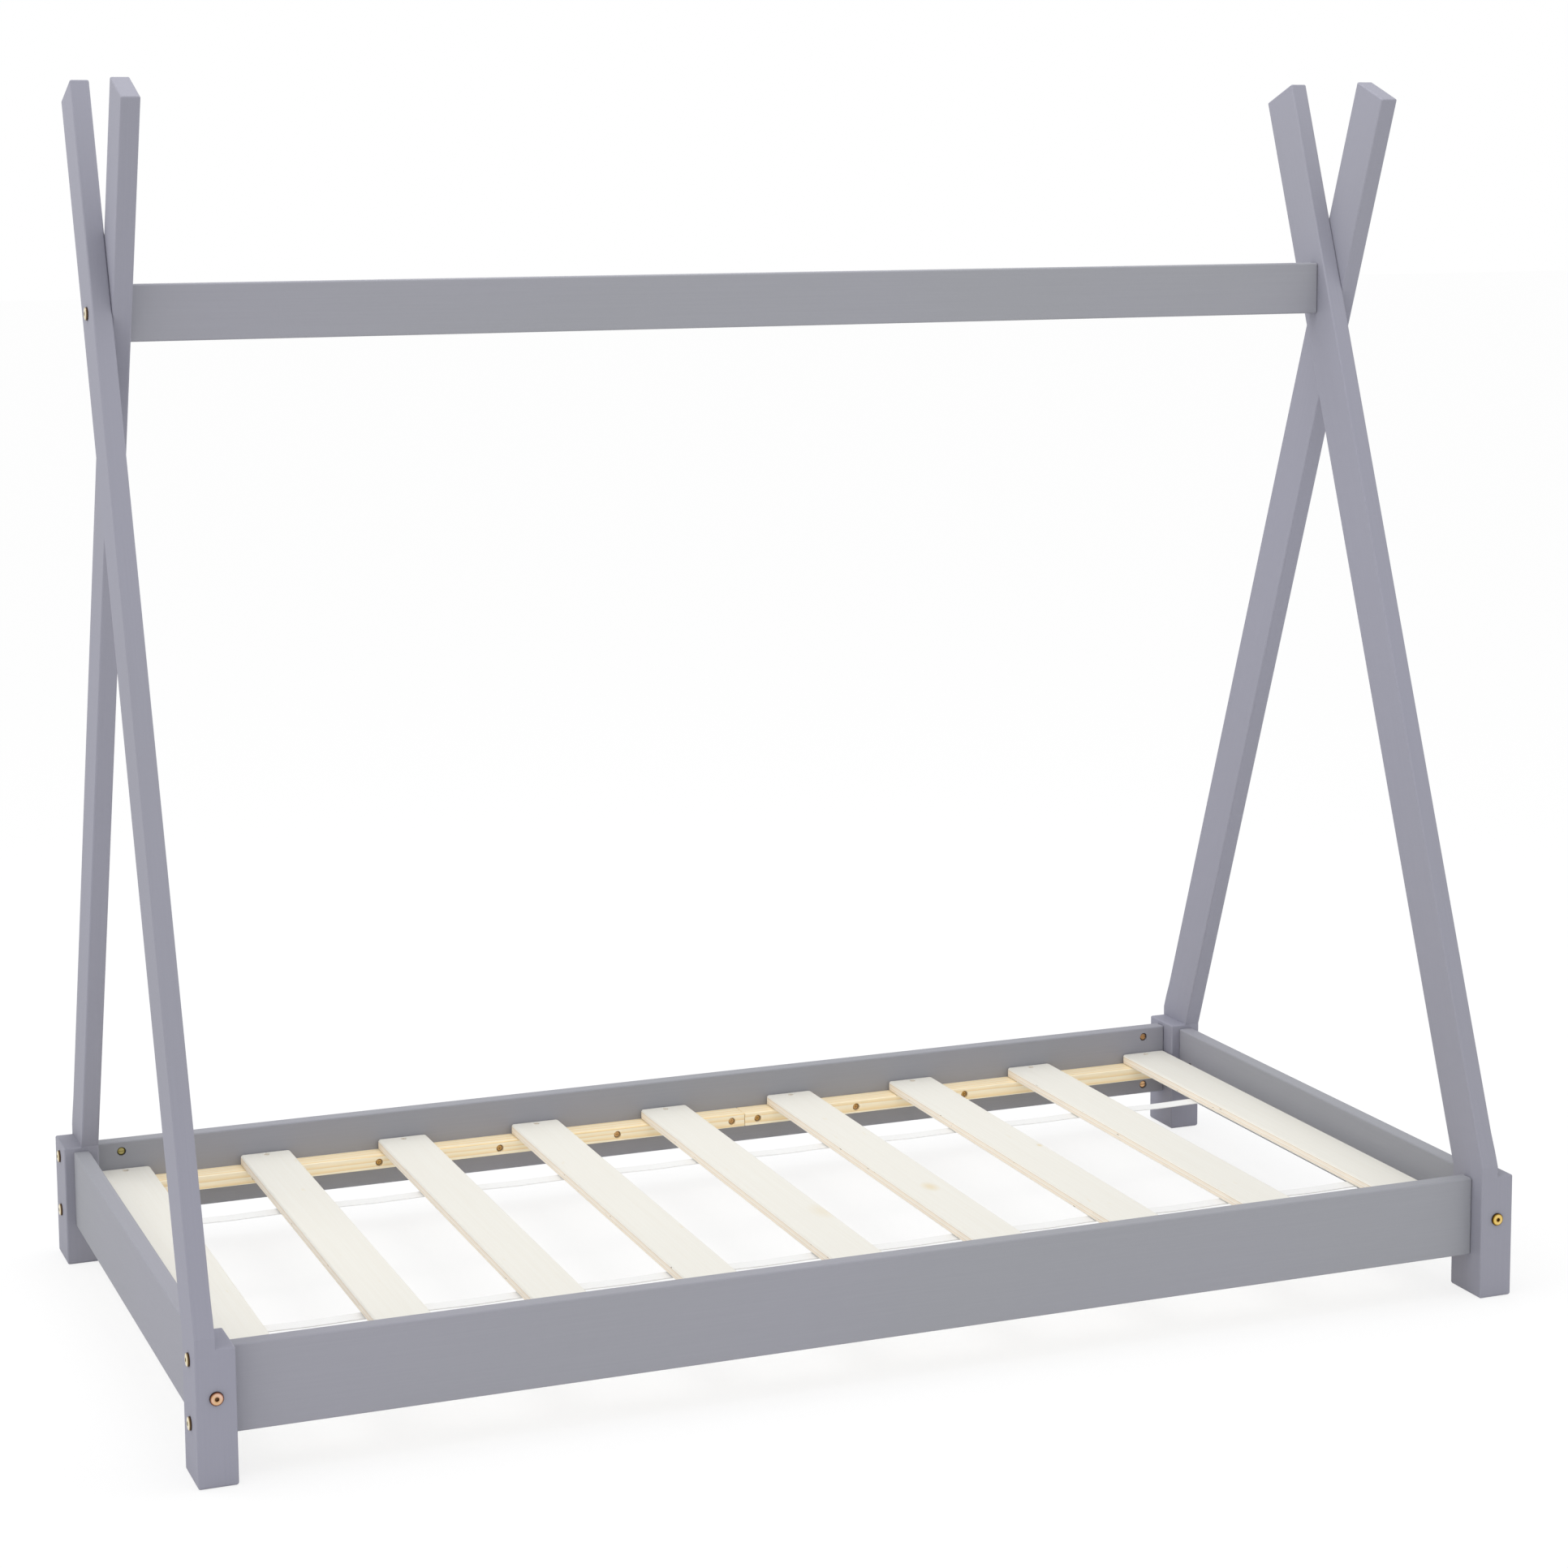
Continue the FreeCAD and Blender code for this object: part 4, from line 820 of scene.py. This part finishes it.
# Rails and ridge beam. The holes for their nuts face into the bed in the rails, and to the back in the ridge.
INNER_SIDE = {"front": "right", "back": "left", "left": "left", "right": "right"}
BOLT_HEIGHTS = [RAIL_MIDDLE[2] + sign * SIDE_BOLT_SPACING / 2 for sign in SIGNS]
NUT_ALONG = BAY - NUT_INSET
END_NUT_ALONG = END_HIGH[1] - NUT_INSET
for name in ("front", "back"):
    nuts = [(x * NUT_ALONG, z, NUT_HOLE, NUT_HOLE_DEPTH) for x in SIGNS for z in BOLT_HEIGHTS]
    board(f"side_rail_{name}", X, PAINT_ROUND, RAIL_PAINT, RAIL_GRAIN[name],
          INNER_SIDE[name], nuts)
for name in ("left", "right"):
    nuts = [(y * END_NUT_ALONG, END_MIDDLE[2], NUT_HOLE, NUT_HOLE_DEPTH) for y in SIGNS]
    board(f"end_rail_{name}", Y, PAINT_ROUND, RAIL_PAINT, RAIL_GRAIN[name],
          INNER_SIDE[name], nuts)
nuts = [(x * NUT_ALONG, RIDGE_MIDDLE[2], NUT_HOLE, NUT_HOLE_DEPTH) for x in SIGNS]
board("ridge_beam", X, PAINT_ROUND, RAIL_PAINT, RIDGE_GRAIN, "right", nuts)

# Ledger strips, their screws measured from the left at the front and from the right at the back
ledger_screws = []
for name in ("front", "back"):
    facing = Y if name == "front" else -Y
    for kind, shares in SCREW_SHARES.items():
        ledger = f"ledger_{kind}_{name}"
        low, high = node_box(ledger)
        middle = (low[2] + high[2]) / 2
        run = LEDGER_SCREW_INSET + shares * (high[0] - low[0] - 2 * LEDGER_SCREW_INSET)
        along = low[0] + run if name == "front" else high[0] - run
        bores = [(x, middle, LEDGER_BORE, LEDGER_BORE_DEPTH) for x in along]
        board(ledger, X, LEDGER_ROUND, PINE, RAIL_GRAIN[name] + LEDGER_GRAIN[kind],
              INNER_SIDE[name], bores)
        face = high[1] if name == "front" else low[1]
        seat = face - facing[1] * LEDGER_BORE_DEPTH
        ledger_screws += [(np.array([x, seat, middle]), facing, X) for x in along]

# Slats, straps and staples
slat_screws = []
for number, (low, high) in enumerate(SLATS, 1):
    middle = (low[0] + high[0]) / 2
    ends = (low[1] + SLAT_SCREW_INSET, high[1] - SLAT_SCREW_INSET)
    bores = [(y, middle, SLAT_BORE, SLAT_BORE_DEPTH) for y in ends]
    board(f"slat_{number}", Y, SLAT_ROUND, PLYWOOD, SLAT_GRAIN + SLAT_GRAIN_STEP * number,
          "top", bores, SLAT_CORNER)
    slat_screws += [(np.array([middle, y, high[2] - SLAT_BORE_DEPTH]), Z, X) for y in ends]
for name in STRAPS:
    strap(name, WEBBING)
staples(ZINC)

# Bolts, nuts and screws
SIDE_BOLT_LENGTH = LEG_WIDTH + NUT_INSET + BOLT_TIP
END_BOLT_LENGTH = POLE_WIDTH + NUT_INSET + BOLT_TIP
RAIL_NUT_LENGTH = RAIL_HIGH[1] - RAIL_LOW[1] - 2 * NUT_RECESS
RIDGE_NUT_LENGTH = RIDGE_HIGH[1] - RIDGE_LOW[1] - 2 * NUT_RECESS
side_bolts = []
side_nuts = []
for z in BOLT_HEIGHTS:
    for x in SIGNS:
        for y in SIGNS:
            side_bolts.append((np.array([x * HALF_LENGTH, y * RAIL_MIDDLE[1], z]), x * X, Z))
            side_nuts.append((np.array([x * NUT_ALONG, y * (RAIL_LOW[1] + NUT_RECESS), z]), -y * Y, X))
repeated("side_rail_bolts", bolt(SIDE_BOLT_LENGTH), side_bolts, PALE_ZINC)
repeated("side_rail_barrel_nuts", barrel_nut(RAIL_NUT_LENGTH), side_nuts, BRASS)

end_bolts = []
end_nuts = []
for x in SIGNS:
    for y in SIGNS:
        end_bolts.append((np.array([x * END_MIDDLE[0], y * HALF_WIDTH, END_MIDDLE[2]]), y * Y, Z))
        nut = np.array([x * (END_LOW[0] + NUT_RECESS), y * END_NUT_ALONG, END_MIDDLE[2]])
        end_nuts.append((nut, -x * X, Y))
repeated("end_rail_bolts", bolt(END_BOLT_LENGTH), end_bolts, COPPER_ZINC)
repeated("end_rail_barrel_nuts", barrel_nut(RAIL_NUT_LENGTH), end_nuts, BRASS)

ridge_bolts = [(np.array([x * HALF_LENGTH, 0.0, RIDGE_MIDDLE[2]]), x * X, Z) for x in SIGNS]
ridge_nuts = [(np.array([x * NUT_ALONG, RIDGE_HIGH[1] - NUT_RECESS, RIDGE_MIDDLE[2]]), Y, X) for x in SIGNS]
repeated("ridge_bolts", bolt(SIDE_BOLT_LENGTH), ridge_bolts, PALE_ZINC)
repeated("ridge_barrel_nuts", barrel_nut(RIDGE_NUT_LENGTH), ridge_nuts, BRASS)

repeated("ledger_screws", screw(**LEDGER_SCREW), ledger_screws, SCREW_ZINC)
repeated("slat_screws", screw(**SLAT_SCREW), slat_screws, SCREW_ZINC)

for name in ("end_rail_dowels", "ridge_dowels"):
    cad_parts[name].data.materials.clear()
    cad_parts[name].data.materials.append(BEECH)


# Studio. A lamp is its kind, its strength, its size in metres or a sun's spread in radians, its place and the
# way it shines.
FLOOR_REACH = 30.0
FLOOR_GLOW = 0.78
SURROUND_LIGHT = 0.95
LAMPS = {
    "side_lamp": ("SUN", 0.14, math.radians(60), (-2.0, 0.0, 1.5), (0.93, 0.1, -0.35)),
    "high_lamp": ("AREA", 6.5, 0.8, (-1.6, 0.4, 2.2), (0.75, -0.1, -0.65)),
    "over_lamp": ("AREA", 17.0, 1.5, (0.1, -0.1, 2.8), (0.0, 0.05, -1.0)),
}


def seen_directly(tree):
    """A socket that is 1 where the camera looks, straight, in a mirror or through glass, and 0 for light."""
    ray = node(tree, "LightPath")
    mirrored = node(tree, "Math", {0: ray.outputs["Is Glossy Ray"], 1: ray.outputs["Is Transmission Ray"]},
                    operation="MAXIMUM")
    seen = node(tree, "Math", {0: ray.outputs["Is Camera Ray"], 1: mirrored.outputs[0]}, operation="MAXIMUM")
    return seen.outputs[0]


def studio_floor(scene):
    """White paper on the floor that is open from below. The glow takes most of what the camera sees, so
    that the shadow is faint."""
    ground = bpy.data.meshes.new("studio_floor")
    corners = [(x * FLOOR_REACH, y * FLOOR_REACH, 0) for x, y in ((-1, -1), (1, -1), (1, 1), (-1, 1))]
    ground.from_pydata(corners, [], [(0, 1, 2, 3)])
    floor = bpy.data.objects.new("studio_floor", ground)
    scene.collection.objects.link(floor)
    paper = bpy.data.materials.new("white_paper")
    paper.use_nodes = True
    tree = paper.node_tree
    tree.nodes.clear()
    matt = node(tree, "BsdfDiffuse", {"Color": rgb("#FCFCFC")})
    glow = node(tree, "Emission", {"Color": (1, 1, 1, 1), "Strength": 1.0})
    share = node(tree, "Math", {0: seen_directly(tree), 1: FLOOR_GLOW}, operation="MULTIPLY")
    mixed = node(tree, "MixShader", {0: share.outputs[0], 1: matt.outputs[0], 2: glow.outputs[0]})
    below = node(tree, "NewGeometry").outputs["Backfacing"]
    clear = node(tree, "BsdfTransparent").outputs[0]
    open_below = node(tree, "MixShader", {0: below, 1: mixed.outputs[0], 2: clear})
    node(tree, "OutputMaterial", {"Surface": open_below.outputs[0]})
    ground.materials.append(paper)


def surround(scene):
    """A white surround, a little weaker as a light than as a background."""
    world = bpy.data.worlds.new("studio_white")
    scene.world = world
    world.use_nodes = True
    tree = world.node_tree
    tree.nodes.clear()
    strength = node(tree, "MapRange", {"Value": seen_directly(tree), "To Min": SURROUND_LIGHT, "To Max": 1.0})
    sky = node(tree, "Background", {"Color": (1, 1, 1, 1), "Strength": strength.outputs[0]})
    node(tree, "OutputWorld", {"Surface": sky.outputs[0]})


def lamps(scene):
    """A broad lamp on the left, one high on the left and one overhead."""
    for name, (kind, strength, spread, place, way) in LAMPS.items():
        lamp = bpy.data.lights.new(name, kind)
        lamp.energy = strength
        setattr(lamp, "angle" if kind == "SUN" else "size", spread)
        stand = bpy.data.objects.new(name, lamp)
        stand.location = place
        stand.rotation_euler = Vector(way).to_track_quat("-Z", "Y").to_euler()
        scene.collection.objects.link(stand)


def photo_camera(scene):
    """The camera of the photograph: turned to the right, dipped, and rolled a little."""
    view = bpy.data.cameras.new("photo_camera")
    view.lens, view.sensor_width = 77.54, 36.0
    view.shift_x, view.shift_y = -0.00757, -0.10825
    view.clip_end = 100.0
    camera = bpy.data.objects.new("photo_camera", view)
    camera.location = (-1.3499, -3.4948, 1.2588)
    turn, dip, roll = math.radians(21.686), math.radians(-7.557), math.radians(-0.329)
    ahead = Vector((math.sin(turn) * math.cos(dip), math.cos(turn) * math.cos(dip), math.sin(dip)))
    facing = ahead.to_track_quat("-Z", "Y").to_matrix() @ Matrix.Rotation(roll, 3, "Z")
    camera.rotation_euler = facing.to_euler()
    scene.collection.objects.link(camera)
    scene.camera = camera


studio = bpy.context.scene
studio.view_settings.view_transform = "Standard"
studio_floor(studio)
surround(studio)
lamps(studio)
photo_camera(studio)
